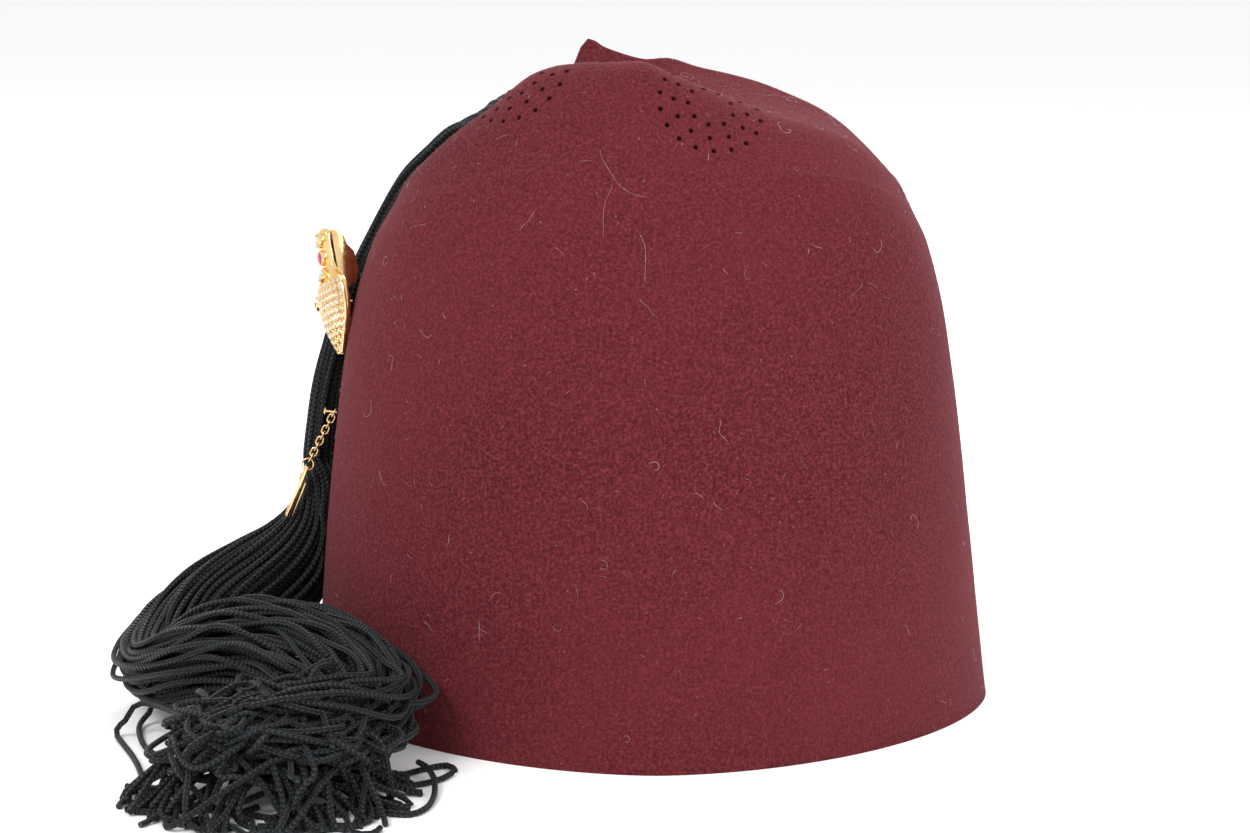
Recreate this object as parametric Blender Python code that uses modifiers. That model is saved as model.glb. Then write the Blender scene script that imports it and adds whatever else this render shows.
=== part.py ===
"""A soft felt fez with a long black tassel, held to its side by a stone-set brooch.

It is a hat that has been stored flat and stood up again: the rim is a pointed oval, the walls lean
together, and the old flat top is folded into a near ridge, a far ridge and a pit between them.
X runs to the viewer's right, Y away from the viewer and Z up. Lengths are in metres.
"""

import math

import bmesh
import bpy
from mathutils import Matrix, Vector
from mathutils.bvhtree import BVHTree

# Hat sizes
RIM_WIDTH = 0.204
RIM_DEPTH = 0.172
CROWN_HEIGHT = 0.192
FELT_THICKNESS = 0.0022
TOP_WIDTH = 0.141
TOP_DEPTH = 0.056

# The wall from the rim to the old edge of the flat top. Rise is a share of the shoulder's height,
# width and depth are shares of the rim's, lean is a share of half the rim's width, and roundness
# is the power of the oval, under 2 where its two ends are pointed.
WALL_COLUMNS = ("rise", "width", "depth", "lean", "roundness")
WALL_ROWS = (
    (0.00, 1.000, 1.000, 0.000, 1.75),
    (0.19, 0.976, 0.950, -0.011, 1.78),
    (0.38, 0.948, 0.887, -0.014, 1.82),
    (0.59, 0.912, 0.806, -0.017, 1.88),
    (0.80, 0.862, 0.712, -0.016, 1.94),
    (0.93, 0.808, 0.634, -0.010, 1.98),
    (1.00, 0.755, 0.575, -0.006, 2.00),
)

# The folded top, from its left end to its right. Across is a share of half the rim's width, near,
# far and shoulder are heights as shares of the crown's, pit is the share by which the felt
# between the two ridges sinks, and forward is how far the near ridge stands from the middle, as
# a share of half the top's depth there.
TOP_COLUMNS = ("across", "near", "far", "pit", "shoulder", "forward")
TOP_ROWS = (
    (-0.76, 0.770, 0.765, 0.000, 0.770, 1.00),
    (-0.69, 0.834, 0.808, 0.005, 0.796, 0.90),
    (-0.58, 0.897, 0.842, 0.015, 0.815, 0.72),
    (-0.46, 0.942, 0.872, 0.030, 0.832, 0.62),
    (-0.36, 0.982, 0.912, 0.060, 0.845, 0.62),
    (-0.29, 0.995, 0.940, 0.078, 0.853, 0.68),
    (-0.24, 0.998, 0.975, 0.088, 0.856, 0.75),
    (-0.20, 1.000, 1.022, 0.092, 0.858, 0.82),
    (-0.14, 1.001, 1.008, 0.090, 0.860, 0.92),
    (-0.03, 1.003, 0.990, 0.080, 0.862, 1.00),
    (0.05, 0.985, 0.992, 0.055, 0.860, 1.00),
    (0.13, 0.968, 0.980, 0.042, 0.856, 1.00),
    (0.24, 0.943, 0.967, 0.030, 0.850, 1.00),
    (0.35, 0.921, 0.951, 0.022, 0.846, 1.00),
    (0.49, 0.897, 0.919, 0.014, 0.838, 1.00),
    (0.58, 0.872, 0.884, 0.008, 0.826, 1.00),
    (0.69, 0.816, 0.822, 0.003, 0.800, 1.00),
    (0.76, 0.770, 0.765, 0.000, 0.770, 1.00),
)

# Levels of the crown's rings: up to 1 is the wall, 2 is the ridges and 3 the middle of the top.
RING_LEVELS = (
    -0.03, 0.09, 0.24, 0.40, 0.55, 0.69, 0.81, 0.91, 1.0,
    1.14, 1.34, 1.56, 1.76, 1.90, 2.0, 2.10, 2.26, 2.46, 2.72, 3.0,
)

# Angles of the crown's columns in degrees, closer at the far ridge's peak.
COLUMN_ANGLES = tuple(range(0, 95, 10)) + (98, 103, 106, 110, 114) + tuple(range(121, 360, 10))

# Vents: two round groups of punched holes. Across and back are shares of half the rim's width
# and depth, where the middle of the group is.
VENT_DIAMETER = 0.0016
VENT_SIDES = 6
VENT_RINGS = ((0.0068, 9), (0.0110, 12), (0.0150, 18))
VENT_GROUPS = ((0.155, -0.41), (-0.375, -0.205))

# Tassel sizes
TASSEL_WIDTH = 0.032
TASSEL_THICKNESS = 0.0085
TASSEL_CLEAR = 0.0015
PILE_HEIGHT = 0.040
SECTION_POINTS = 14
LOCK_DEPTH = 0.10
LOCK_SIDES = 6

# The tassel on the crown, from its head to where it leaves the hat: the crown's level and the
# angle under its middle in degrees, and its width and thickness as shares of the tassel's.
CROWN_ROUTE_COLUMNS = ("step", "level", "angle", "width", "thickness")
CROWN_ROUTE_ROWS = (
    (0, 2.80, 112, 0.32, 0.66),
    (1, 2.60, 121, 0.46, 0.64),
    (2, 2.32, 127, 0.58, 0.66),
    (3, 2.02, 131, 0.66, 0.72),
    (4, 1.75, 135, 0.74, 0.74),
    (5, 1.50, 139, 0.84, 0.70),
    (6, 1.25, 146, 0.84, 0.72),
    (7, 1.00, 151, 0.82, 0.74),
    (8, 0.88, 156, 0.80, 0.78),
    (9, 0.79, 161, 0.76, 0.76),
    (10, 0.70, 163, 0.78, 1.08),
    (11, 0.58, 165, 0.90, 1.20),
    (12, 0.43, 165, 1.00, 1.15),
)
CROWN_STEPS = 25

# The tassel off the hat, in sweeps laid on one another: places as shares of half the rim's
# width and depth and of the pile's height, and sizes as shares of the tassel's.
SWEEP_COLUMNS = ("step", "across", "back", "high", "width", "thickness")
FIRST_SWEEP_ROWS = (
    (0, -1.000, 0.19, 1.44, 1.06, 1.20),
    (1, -1.022, 0.17, 1.25, 1.10, 1.45),
    (2, -1.075, 0.13, 1.02, 1.14, 1.80),
    (3, -1.17, 0.08, 0.82, 1.18, 2.10),
    (4, -1.29, 0.02, 0.64, 1.20, 2.35),
    (5, -1.40, -0.09, 0.45, 1.15, 2.40),
    (6, -1.45, -0.26, 0.30, 1.00, 2.00),
    (7, -1.43, -0.42, 0.26, 0.85, 1.70),
)
INNER_SWEEP_ROWS = (
    (0, -0.990, 0.12, 1.50, 0.80, 1.00),
    (1, -1.010, 0.08, 1.08, 0.95, 1.60),
    (2, -1.08, 0.00, 0.72, 1.10, 2.40),
    (3, -1.21, -0.08, 0.46, 1.20, 2.80),
    (4, -1.34, -0.18, 0.32, 1.05, 2.20),
)
SECOND_SWEEP_ROWS = (
    (0, -1.41, -0.26, 0.28, 0.90, 1.90),
    (1, -1.34, -0.44, 0.36, 1.20, 2.50),
    (2, -1.20, -0.52, 0.53, 1.35, 3.10),
    (3, -1.02, -0.66, 0.55, 1.35, 3.10),
    (4, -0.86, -0.88, 0.48, 1.15, 2.80),
    (5, -0.78, -1.06, 0.38, 0.95, 2.20),
)
THIRD_SWEEP_ROWS = (
    (0, -0.74, -0.94, 0.38, 0.95, 1.90),
    (1, -0.82, -1.10, 0.48, 1.30, 2.80),
    (2, -0.95, -1.18, 0.50, 1.55, 3.10),
    (3, -1.10, -1.16, 0.46, 1.60, 3.00),
    (4, -1.25, -1.00, 0.36, 1.35, 2.50),
    (5, -1.36, -0.76, 0.26, 1.00, 1.90),
)
STEPS_PER_ROW = 2
EASED_SECTIONS = 8

# Loose ends at the pile's foot: where each starts and ends, as shares of half the rim's width and
# depth, and its start's height and its width as shares of the pile's height and tassel's width.
LOCK_COLUMNS = ("across", "back", "high", "end_across", "end_back", "width")
LOCK_ROWS = (
    (-0.78, -1.08, 0.34, -0.64, -1.13, 0.42),
    (-0.83, -1.24, 0.40, -0.74, -1.60, 0.50),
    (-0.93, -1.30, 0.42, -0.90, -1.66, 0.52),
    (-1.04, -1.32, 0.42, -1.05, -1.62, 0.52),
    (-1.15, -1.28, 0.40, -1.20, -1.50, 0.50),
    (-1.26, -1.16, 0.30, -1.38, -1.24, 0.46),
    (-1.36, -0.60, 0.30, -1.44, -0.86, 0.42),
)
LOCK_STEPS = 4
END_ROUNDING = 0.55
HEAD_DIAMETER = 0.009

# Button that holds the tassel's head in the pit
BUTTON_DIAMETER = 0.009
BUTTON_HEIGHT = 0.004
BUTTON_ACROSS = 0.075
BUTTON_LIFT = 0.0016
SEAT_GAP = 0.0003

# Brooch sizes, and where its middle is: shares of half the rim's width and depth and of the
# crown's height. It faces away from the hat, turned to the viewer, with its top leaning out.
BROOCH_HEIGHT = 0.038
BROOCH_WIDTH = 0.026
BROOCH_METAL = 0.0012
BROOCH_BULGE = 0.0030
BROOCH_PLACE = (-0.958, 0.025, 0.638)
BROOCH_TURN = 24.0
BROOCH_LEAN = 3.0
BROOCH_ROLL = 18.0
BRACKET_WIDTH = 0.0085
BRACKET_METAL = 0.0009
POST_DIAMETER = 0.0018
POST_PLACE = (0.38, 0.62)
SMALL_STONE = 0.0027
SMALL_STONE_RISE = 0.0008
MAIN_STONE = 0.0034
BEZEL_WALL = 0.0006
BEZEL_RISE = 0.0012
STONE_SIDES = 8

# Half the brooch's outline, from its top to its point: down is a share of its height, and out a
# share of half its width.
OUTLINE_COLUMNS = ("down", "out")
OUTLINE_ROWS = (
    (0.00, 0.22),
    (0.04, 0.30),
    (0.20, 0.32),
    (0.34, 0.42),
    (0.44, 0.86),
    (0.55, 1.00),
    (0.68, 0.94),
    (0.82, 0.66),
    (0.94, 0.30),
    (1.00, 0.08),
)

# The bracket's side, from its front at the brooch's back: back is a share of the brooch's width
# and down a share of its height.
BRACKET_ROWS = (
    (0.00, 0.02),
    (0.13, 0.05),
    (0.16, 0.15),
    (0.23, 0.21),
    (0.25, 0.34),
    (0.20, 0.45),
    (0.10, 0.49),
    (0.00, 0.44),
)

# Rows of small stones across the brooch: down, and how many.
SMALL_STONE_ROWS = ((0.50, 4), (0.60, 5), (0.70, 4), (0.79, 3), (0.875, 2), (0.945, 1))

# Main stones: their name, down, and out as a share of half the width, with + to the viewer.
MAIN_STONE_ROWS = (
    ("clear_stone_1", 0.085, 0.0),
    ("red_stone_1", 0.225, 0.0),
    ("clear_stone_2", 0.365, 0.0),
    ("red_stone_2", 0.545, -0.78),
)

# Chain and drop sizes. The chain's and the drop's places are shares of half the rim's width and
# depth and of the crown's height.
LINK_LENGTH = 0.0032
LINK_WIDTH = 0.0024
LINK_WIRE = 0.0005
LINK_SLACK = 0.0003
LINK_COUNT = 9
LINK_SIDES = 10
WIRE_SIDES = 5
RING_DIAMETER = 0.0040
CHAIN_START = (-0.940, -0.012, 0.450)
CHAIN_END = (-1.028, -0.030, 0.360)
STUD_DIAMETER = 0.0008
STUD_HEAD = 0.0030
STUD_LENGTH = 0.0040
DROP_LENGTH = 0.017
DROP_WIDTH = 0.0042
DROP_METAL = 0.0013
DROP_HOLE = 0.0018
DROP_EDGE = 0.0016
DROP_LEAN = (-0.37, 0.02, -0.93)
DROP_GAP = 0.0004
CLIP_WIDTH = 0.0024
CLIP_METAL = 0.0006

HALF_WIDTH = RIM_WIDTH / 2
HALF_DEPTH = RIM_DEPTH / 2
MERGE = 0.00005


def clear_scene():
    for thing in list(bpy.data.objects):
        bpy.data.objects.remove(thing)


def collection(name, shown):
    made = bpy.data.collections.new(name)
    bpy.context.scene.collection.children.link(made)
    made.hide_render = not shown
    return made


def finish(name, colour, roughness, metallic=0.0):
    made = bpy.data.materials.new(name)
    made.use_nodes = True
    shader = made.node_tree.nodes["Principled BSDF"]
    shader.inputs["Base Color"].default_value = (*colour, 1.0)
    shader.inputs["Roughness"].default_value = roughness
    shader.inputs["Metallic"].default_value = metallic
    return made


def place(name, mesh, where, material=None):
    made = bpy.data.objects.new(name, mesh)
    where.objects.link(made)
    if material:
        mesh.materials.clear()
        mesh.materials.append(material)
    return made


def mesh_of(name, bm):
    bmesh.ops.remove_doubles(bm, verts=bm.verts, dist=MERGE)
    bmesh.ops.recalc_face_normals(bm, faces=bm.faces)
    mesh = bpy.data.meshes.new(name)
    bm.to_mesh(mesh)
    bm.free()
    return mesh


def applied(thing):
    """The object's shape with its modifiers, as a new mesh."""
    bpy.context.view_layer.update()
    graph = bpy.context.evaluated_depsgraph_get()
    return bpy.data.meshes.new_from_object(thing.evaluated_get(graph), depsgraph=graph)


def boolean(thing, other, operation):
    modifier = thing.modifiers.new(operation.lower(), "BOOLEAN")
    modifier.operation = operation
    modifier.solver = "EXACT"
    modifier.use_self = operation == "UNION"
    modifier.object = other
    return modifier


def value(rows, columns, name, at):
    """A column's value where the first column is at, on a smooth curve through the rows."""
    k = columns.index(name)
    if at <= rows[0][0]:
        return rows[0][k]
    if at >= rows[-1][0]:
        return rows[-1][k]
    i = max(n for n in range(len(rows) - 1) if rows[n][0] <= at)

    def slope(n):
        low, high = max(n - 1, 0), min(n + 1, len(rows) - 1)
        return (rows[high][k] - rows[low][k]) / (rows[high][0] - rows[low][0])

    step = rows[i + 1][0] - rows[i][0]
    t = (at - rows[i][0]) / step
    start, end = slope(i) * step, slope(i + 1) * step
    return (
        rows[i][k] * (1 + 2 * t) * (1 - t) ** 2
        + start * t * (1 - t) ** 2
        + rows[i + 1][k] * t * t * (3 - 2 * t)
        - end * t * t * (1 - t)
    )


def mix(a, b, t):
    return a + (b - a) * t


def oval(angle, half_width, half_depth, roundness):
    c, s = math.cos(angle), math.sin(angle)
    power = 2 / roundness
    return (
        half_width * math.copysign(abs(c) ** power, c),
        half_depth * math.copysign(abs(s) ** power, s),
    )


def top_height(name, x):
    return value(TOP_ROWS, TOP_COLUMNS, name, x / HALF_WIDTH) * CROWN_HEIGHT


def ridge_height(x, far):
    """Height of a ridge at x, with far going from 0, the near ridge, to 1, the far one."""
    return mix(top_height("near", x), top_height("far", x), far)


def crown_point(level, angle):
    """A point of the felt's outer face. The angle is in radians, 0 at +X and half a turn at -X."""
    if level <= 1:
        x, y = oval(
            angle,
            HALF_WIDTH * value(WALL_ROWS, WALL_COLUMNS, "width", level),
            HALF_DEPTH * value(WALL_ROWS, WALL_COLUMNS, "depth", level),
            value(WALL_ROWS, WALL_COLUMNS, "roundness", level),
        )
        x += HALF_WIDTH * value(WALL_ROWS, WALL_COLUMNS, "lean", level)
        edge = HALF_WIDTH * WALL_ROWS[-1][1] * math.cos(angle)
        return Vector((x, y, level * top_height("shoulder", edge)))
    ridge_x, ridge_y = oval(angle, TOP_WIDTH / 2, TOP_DEPTH / 2, 2)
    if ridge_y < 0:
        ridge_y *= value(TOP_ROWS, TOP_COLUMNS, "forward", ridge_x / HALF_WIDTH)
    ridge_z = ridge_height(ridge_x, 0.5 + 0.5 * math.sin(angle))
    if level <= 2:
        edge = crown_point(1, angle)
        t = level - 1
        rise = math.sin(t * math.pi / 2) ** 1.15
        return Vector((mix(edge.x, ridge_x, t), mix(edge.y, ridge_y, t), mix(edge.z, ridge_z, rise)))
    t = 3 - level
    x, y = ridge_x * t, ridge_y * t
    reach = TOP_DEPTH / 2 * math.sqrt(max(1e-6, 1 - (x / (TOP_WIDTH / 2)) ** 2))
    far = min(max(0.5 + 0.5 * y / reach, 0.0), 1.0)
    sunk = value(TOP_ROWS, TOP_COLUMNS, "pit", x / HALF_WIDTH) * CROWN_HEIGHT
    return Vector((x, y, ridge_height(x, far) - sunk * (1 - (2 * far - 1) ** 2)))


def crown_normal(level, angle):
    step = 0.02
    up = crown_point(level + step, angle) - crown_point(level - step, angle)
    along = crown_point(level, angle + step) - crown_point(level, angle - step)
    normal = along.cross(up).normalized()
    return normal


def crown_shell():
    """The felt's outer face as an open shell, lofted from the rim to the middle of the top."""
    bm = bmesh.new()
    rings = []
    for level in RING_LEVELS[:-1]:
        ring = [crown_point(level, math.radians(angle)) for angle in COLUMN_ANGLES]
        rings.append([bm.verts.new(p) for p in ring])
    middle = bm.verts.new(crown_point(3, 0))
    for low, high in zip(rings, rings[1:]):
        for k in range(len(COLUMN_ANGLES)):
            n = (k + 1) % len(COLUMN_ANGLES)
            bm.faces.new((low[k], low[n], high[n], high[k]))
    for k in range(len(COLUMN_ANGLES)):
        bm.faces.new((rings[-1][k], rings[-1][(k + 1) % len(COLUMN_ANGLES)], middle))
    return mesh_of("felt_crown", bm)


def block_below(name, cutters):
    """A block whose upper face is the floor, which trims what reaches below it."""
    bpy.ops.mesh.primitive_cube_add(size=1, location=(0, 0, -RIM_WIDTH / 2))
    block = bpy.context.object
    block.name = name
    block.scale = (4 * RIM_WIDTH, 4 * RIM_WIDTH, RIM_WIDTH)
    bpy.ops.object.transform_apply(location=False, rotation=False, scale=True)
    for holder in list(block.users_collection):
        holder.objects.unlink(block)
    cutters.objects.link(block)
    return block


def hide(thing):
    thing.hide_render = True
    thing.display_type = "WIRE"
    return thing


def vent_punches(felt, cutters):
    """One mesh of short rods, each square to the felt where a vent hole is."""
    shape = applied(felt)
    bm = bmesh.new()
    bm.from_mesh(shape)
    tree = BVHTree.FromBMesh(bm)
    bm.free()
    punches = bmesh.new()
    for across, back in VENT_GROUPS:
        start = Vector((across * HALF_WIDTH, back * HALF_DEPTH, CROWN_HEIGHT * 1.5))
        middle, normal, _, _ = tree.ray_cast(start, Vector((0, 0, -1)))
        side = normal.orthogonal().normalized()
        other = normal.cross(side)
        for radius, count in VENT_RINGS:
            for k in range(count):
                turn = 2 * math.pi * (k + 0.5) / count
                offset = side * (radius * math.cos(turn)) + other * (radius * math.sin(turn))
                above = middle + offset + normal * (radius + 0.01)
                hit, facing, _, _ = tree.ray_cast(above, -normal)
                turned = facing.to_track_quat("Z", "Y").to_matrix().to_4x4()
                bmesh.ops.create_cone(
                    punches,
                    cap_ends=True,
                    segments=VENT_SIDES,
                    radius1=VENT_DIAMETER / 2,
                    radius2=VENT_DIAMETER / 2,
                    depth=FELT_THICKNESS * 3,
                    matrix=Matrix.Translation(hit) @ turned,
                )
    bpy.data.meshes.remove(shape)
    return hide(place("vent_punches", mesh_of("vent_punches", punches), cutters))


def build_crown(parts, cutters, floor_block, felt):
    crown = place("felt_crown", crown_shell(), parts, felt)
    wall = crown.modifiers.new("wall", "SOLIDIFY")
    wall.thickness = FELT_THICKNESS
    wall.offset = -1
    punches = vent_punches(crown, cutters)
    boolean(crown, punches, "DIFFERENCE")
    boolean(crown, floor_block, "DIFFERENCE")
    return crown


def tree_of(shape):
    bm = bmesh.new()
    bm.from_mesh(shape)
    tree = BVHTree.FromBMesh(bm)
    bm.free()
    return tree


def in_hat(across, back, high, unit):
    return Vector((across * HALF_WIDTH, back * HALF_DEPTH, high * unit))


def crown_frames():
    """Middle, side and up of the tassel's sections on the crown, with their two sizes."""
    frames = []
    last = CROWN_ROUTE_ROWS[-1][0]
    for n in range(CROWN_STEPS):
        step = last * n / (CROWN_STEPS - 1)
        row = {
            name: value(CROWN_ROUTE_ROWS, CROWN_ROUTE_COLUMNS, name, step)
            for name in CROWN_ROUTE_COLUMNS[1:]
        }
        angle = math.radians(row["angle"])
        thickness = TASSEL_THICKNESS * row["thickness"]
        up = crown_normal(row["level"], angle)
        middle = crown_point(row["level"], angle)
        frames.append([middle, None, up, TASSEL_WIDTH * row["width"], thickness, True])
    for n, frame in enumerate(frames):
        low, high = max(n - 1, 0), min(n + 1, len(frames) - 1)
        tangent = (frames[high][0] - frames[low][0]).normalized()
        frame[1] = frame[2].cross(tangent).normalized()
    return frames


def sweep_frames(rows):
    frames = []
    last = rows[-1][0]
    for n in range(last * STEPS_PER_ROW + 1):
        step = n / STEPS_PER_ROW
        row = {name: value(rows, SWEEP_COLUMNS, name, step) for name in SWEEP_COLUMNS[1:]}
        middle = in_hat(row["across"], row["back"], row["high"], PILE_HEIGHT)
        width, thickness = TASSEL_WIDTH * row["width"], TASSEL_THICKNESS * row["thickness"]
        frames.append([middle, None, None, width, thickness, False])
    for n, frame in enumerate(frames):
        low, high = max(n - 1, 0), min(n + 1, len(frames) - 1)
        tangent = (frames[high][0] - frames[low][0]).normalized()
        frame[1] = Vector((0, 0, 1)).cross(tangent).normalized()
        frame[2] = tangent.cross(frame[1]).normalized()
    return frames


def eased(frames, side):
    """Sections turned so that the first ones lie flat along the side before them."""
    for n, frame in enumerate(frames[:EASED_SECTIONS]):
        tangent = frame[1].cross(frame[2])
        turned = side.lerp(frame[1], (n + 1) / (EASED_SECTIONS + 1))
        frame[1] = (turned - tangent * turned.dot(tangent)).normalized()
        frame[2] = tangent.cross(frame[1]).normalized()
    return frames


def lock_frames(row):
    lock = dict(zip(LOCK_COLUMNS, row))
    start = in_hat(lock["across"], lock["back"], lock["high"], PILE_HEIGHT)
    end = in_hat(lock["end_across"], lock["end_back"], 0.06, PILE_HEIGHT)
    frames = []
    for n in range(LOCK_STEPS):
        t = n / (LOCK_STEPS - 1)
        middle = start.lerp(end, t)
        middle.z = mix(start.z, end.z, math.sin(t * math.pi / 2))
        size = TASSEL_WIDTH * lock["width"] * mix(1.0, 0.55, t)
        side = Vector((0, 0, 1)).cross(end - start).normalized()
        frames.append([middle, side, Vector((0, 0, 1)), size, size * 0.75, False])
    return frames


def rounded_off(frame, beside):
    """A smaller section just past the last one, which rounds the body's end."""
    middle, side, up, width, thickness, draped = frame
    away = (middle - beside[0]).normalized() * thickness * 0.4
    return [middle + away, side, up, width * END_ROUNDING, thickness * END_ROUNDING, draped]


def section(frame, points, tree):
    """Points round a section. A draped one follows the felt, and none comes too near it."""
    middle, side, up, width, thickness, draped = frame
    ring = []
    for k in range(points):
        out, rise = oval(2 * math.pi * k / points, width / 2, thickness / 2, 2.3)
        lock = 1 - LOCK_DEPTH * (k % 2)
        if draped:
            hit, normal, _, _ = tree.find_nearest(middle + side * (out * lock))
            normal = normal.lerp(up, 0.5).normalized()
            ring.append(hit + normal * (TASSEL_CLEAR + thickness / 2 + rise * lock))
        else:
            ring.append(middle + side * (out * lock) + up * (rise * lock))
    for k, point in enumerate(ring):
        hit, normal, _, _ = tree.find_nearest(point)
        if (point - hit).dot(normal) < TASSEL_CLEAR and (point - hit).length < TASSEL_WIDTH:
            ring[k] = hit + normal * TASSEL_CLEAR
    return ring


def swept(name, frames, points, tree):
    """One closed body through the sections."""
    bm = bmesh.new()
    first, last = rounded_off(frames[0], frames[1]), rounded_off(frames[-1], frames[-2])
    rings = [
        [bm.verts.new(point) for point in section(frame, points, tree)]
        for frame in [first] + frames + [last]
    ]
    for low, high in zip(rings, rings[1:]):
        for k in range(points):
            n = (k + 1) % points
            bm.faces.new((low[k], low[n], high[n], high[k]))
    bm.faces.new(rings[0])
    bm.faces.new(rings[-1])
    return mesh_of(name, bm)


def build_tassel(parts, cutters, floor_block, tree, cord):
    crown = crown_frames()
    frames = crown + eased(sweep_frames(FIRST_SWEEP_ROWS), crown[-1][1])
    tassel = place("tassel", swept("tassel", frames, SECTION_POINTS, tree), parts, cord)
    inner = eased(sweep_frames(INNER_SWEEP_ROWS), frames[len(crown)][1])
    lobes = [
        ("inner_sweep", inner, SECTION_POINTS),
        ("second_sweep", sweep_frames(SECOND_SWEEP_ROWS), SECTION_POINTS),
        ("third_sweep", sweep_frames(THIRD_SWEEP_ROWS), SECTION_POINTS),
    ]
    lobes += [("lock_%d" % (n + 1), lock_frames(row), LOCK_SIDES) for n, row in enumerate(LOCK_ROWS)]
    for name, sections, points in lobes:
        boolean(tassel, hide(place(name, swept(name, sections, points, tree), cutters)), "UNION")
    middle, _, up = frames[0][:3]
    seat = Matrix.Translation(middle + up * (HEAD_DIAMETER / 2 + TASSEL_CLEAR))
    head = bmesh.new()
    bmesh.ops.create_icosphere(head, subdivisions=2, radius=HEAD_DIAMETER / 2, matrix=seat)
    boolean(tassel, hide(place("tassel_head", mesh_of("tassel_head", head), cutters)), "UNION")
    boolean(tassel, floor_block, "DIFFERENCE")
    return tassel


def rod(bm, radius, length, sides, frame, top=None):
    """A rod along the frame's Z from 0 to its length, or a cone if it has its own top radius."""
    bmesh.ops.create_cone(
        bm,
        cap_ends=True,
        segments=sides,
        radius1=radius,
        radius2=radius if top is None else top,
        depth=length,
        matrix=frame @ Matrix.Translation((0, 0, length / 2)),
    )


def brooch_frame():
    """The brooch's own frame: X to the viewer's side, Y up and Z out of its face."""
    turn = Matrix.Rotation(-math.radians(90 - BROOCH_TURN), 4, "Z")
    stand = Matrix.Rotation(math.radians(90 + BROOCH_LEAN), 4, "X")
    roll = Matrix.Rotation(math.radians(BROOCH_ROLL), 4, "Z")
    return Matrix.Translation(in_hat(*BROOCH_PLACE, CROWN_HEIGHT)) @ turn @ stand @ roll


def face_height(down, out):
    """How far the brooch's face stands out at a place on it, both as shares."""
    width = max(value(OUTLINE_ROWS, OUTLINE_COLUMNS, "out", down), 0.05)
    across = min(abs(out) / width, 1.0)
    swell = value(OUTLINE_ROWS, OUTLINE_COLUMNS, "out", down)
    return BROOCH_METAL + BROOCH_BULGE * swell * (1 - across * across)


def on_brooch(frame, down, out, lift=0.0):
    return frame @ Vector(
        (out * BROOCH_WIDTH / 2, BROOCH_HEIGHT * (0.5 - down), face_height(down, out) + lift)
    )


def brooch_body(frame):
    """The shield-shaped plate with its swelling face, lofted down its height."""
    bm = bmesh.new()
    shares = (-1.0, -0.82, -0.4, 0.0, 0.4, 0.82, 1.0)
    rows = []
    for down, out in OUTLINE_ROWS:
        row = [
            frame
            @ Vector(
                (
                    share * out * BROOCH_WIDTH / 2,
                    BROOCH_HEIGHT * (0.5 - down),
                    face_height(down, share * out),
                )
            )
            for share in shares
        ]
        row += [
            frame @ Vector((share * out * BROOCH_WIDTH / 2, BROOCH_HEIGHT * (0.5 - down), 0))
            for share in (1.0, -1.0)
        ]
        rows.append([bm.verts.new(p) for p in row])
    for low, high in zip(rows, rows[1:]):
        for k in range(len(low)):
            n = (k + 1) % len(low)
            bm.faces.new((low[k], low[n], high[n], high[k]))
    bm.faces.new(rows[0])
    bm.faces.new(rows[-1])
    return mesh_of("brooch_plate", bm)


def stone_frame(frame, down, out, lift):
    """Where a stone stands on the brooch, square to its face."""
    step = 0.02
    here = on_brooch(frame, down, out)
    aside = on_brooch(frame, down, out + step) - on_brooch(frame, down, out - step)
    along = on_brooch(frame, down - step, out) - on_brooch(frame, down + step, out)
    normal = aside.cross(along).normalized()
    turned = normal.to_track_quat("Z", "Y").to_matrix().to_4x4()
    return Matrix.Translation(here + normal * lift) @ turned


def build_brooch(parts, cutters, gold, red, clear):
    frame = brooch_frame()
    plate = place("brooch_plate", brooch_body(frame), parts, gold)
    added, wells = bmesh.new(), bmesh.new()
    for down, count in SMALL_STONE_ROWS:
        width = value(OUTLINE_ROWS, OUTLINE_COLUMNS, "out", down)
        for k in range(count):
            out = 0 if count == 1 else width * 0.74 * (2 * k / (count - 1) - 1)
            if any(
                math.hypot((out - o) * BROOCH_WIDTH / 2, (down - d) * BROOCH_HEIGHT)
                < (MAIN_STONE + SMALL_STONE) / 2 + BEZEL_WALL + SEAT_GAP
                for _, d, o in MAIN_STONE_ROWS
            ):
                continue
            at = stone_frame(frame, down, out, -SMALL_STONE_RISE)
            rod(added, SMALL_STONE / 2, SMALL_STONE_RISE * 2.2, STONE_SIDES, at, SMALL_STONE * 0.3)
    for name, down, out in MAIN_STONE_ROWS:
        at = stone_frame(frame, down, out, -BEZEL_RISE)
        rod(added, MAIN_STONE / 2 + BEZEL_WALL + SEAT_GAP, BEZEL_RISE * 2, 12, at)
        well = stone_frame(frame, down, out, 0)
        rod(wells, MAIN_STONE / 2 + SEAT_GAP * 1.2, BEZEL_RISE * 2, 12, well)
        stone = bmesh.new()
        seat = stone_frame(frame, down, out, SEAT_GAP)
        waist = BEZEL_RISE * 0.5
        raised = seat @ Matrix.Translation((0, 0, waist))
        rod(stone, MAIN_STONE / 2, waist, STONE_SIDES, seat)
        rod(stone, MAIN_STONE / 2, MAIN_STONE * 0.26, STONE_SIDES, raised, MAIN_STONE * 0.29)
        base = seat.inverted()
        inner = [
            face
            for face in stone.faces
            if len(face.verts) == STONE_SIDES
            and abs((base @ face.calc_center_median()).z - waist) < MERGE
        ]
        bmesh.ops.delete(stone, geom=inner, context="FACES")
        place(name, mesh_of(name, stone), parts, red if name.startswith("red") else clear)
    settings = hide(place("stone_settings", mesh_of("stone_settings", added), cutters))
    boolean(plate, settings, "UNION")
    boolean(plate, hide(place("stone_wells", mesh_of("stone_wells", wells), cutters)), "DIFFERENCE")
    return frame


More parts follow.
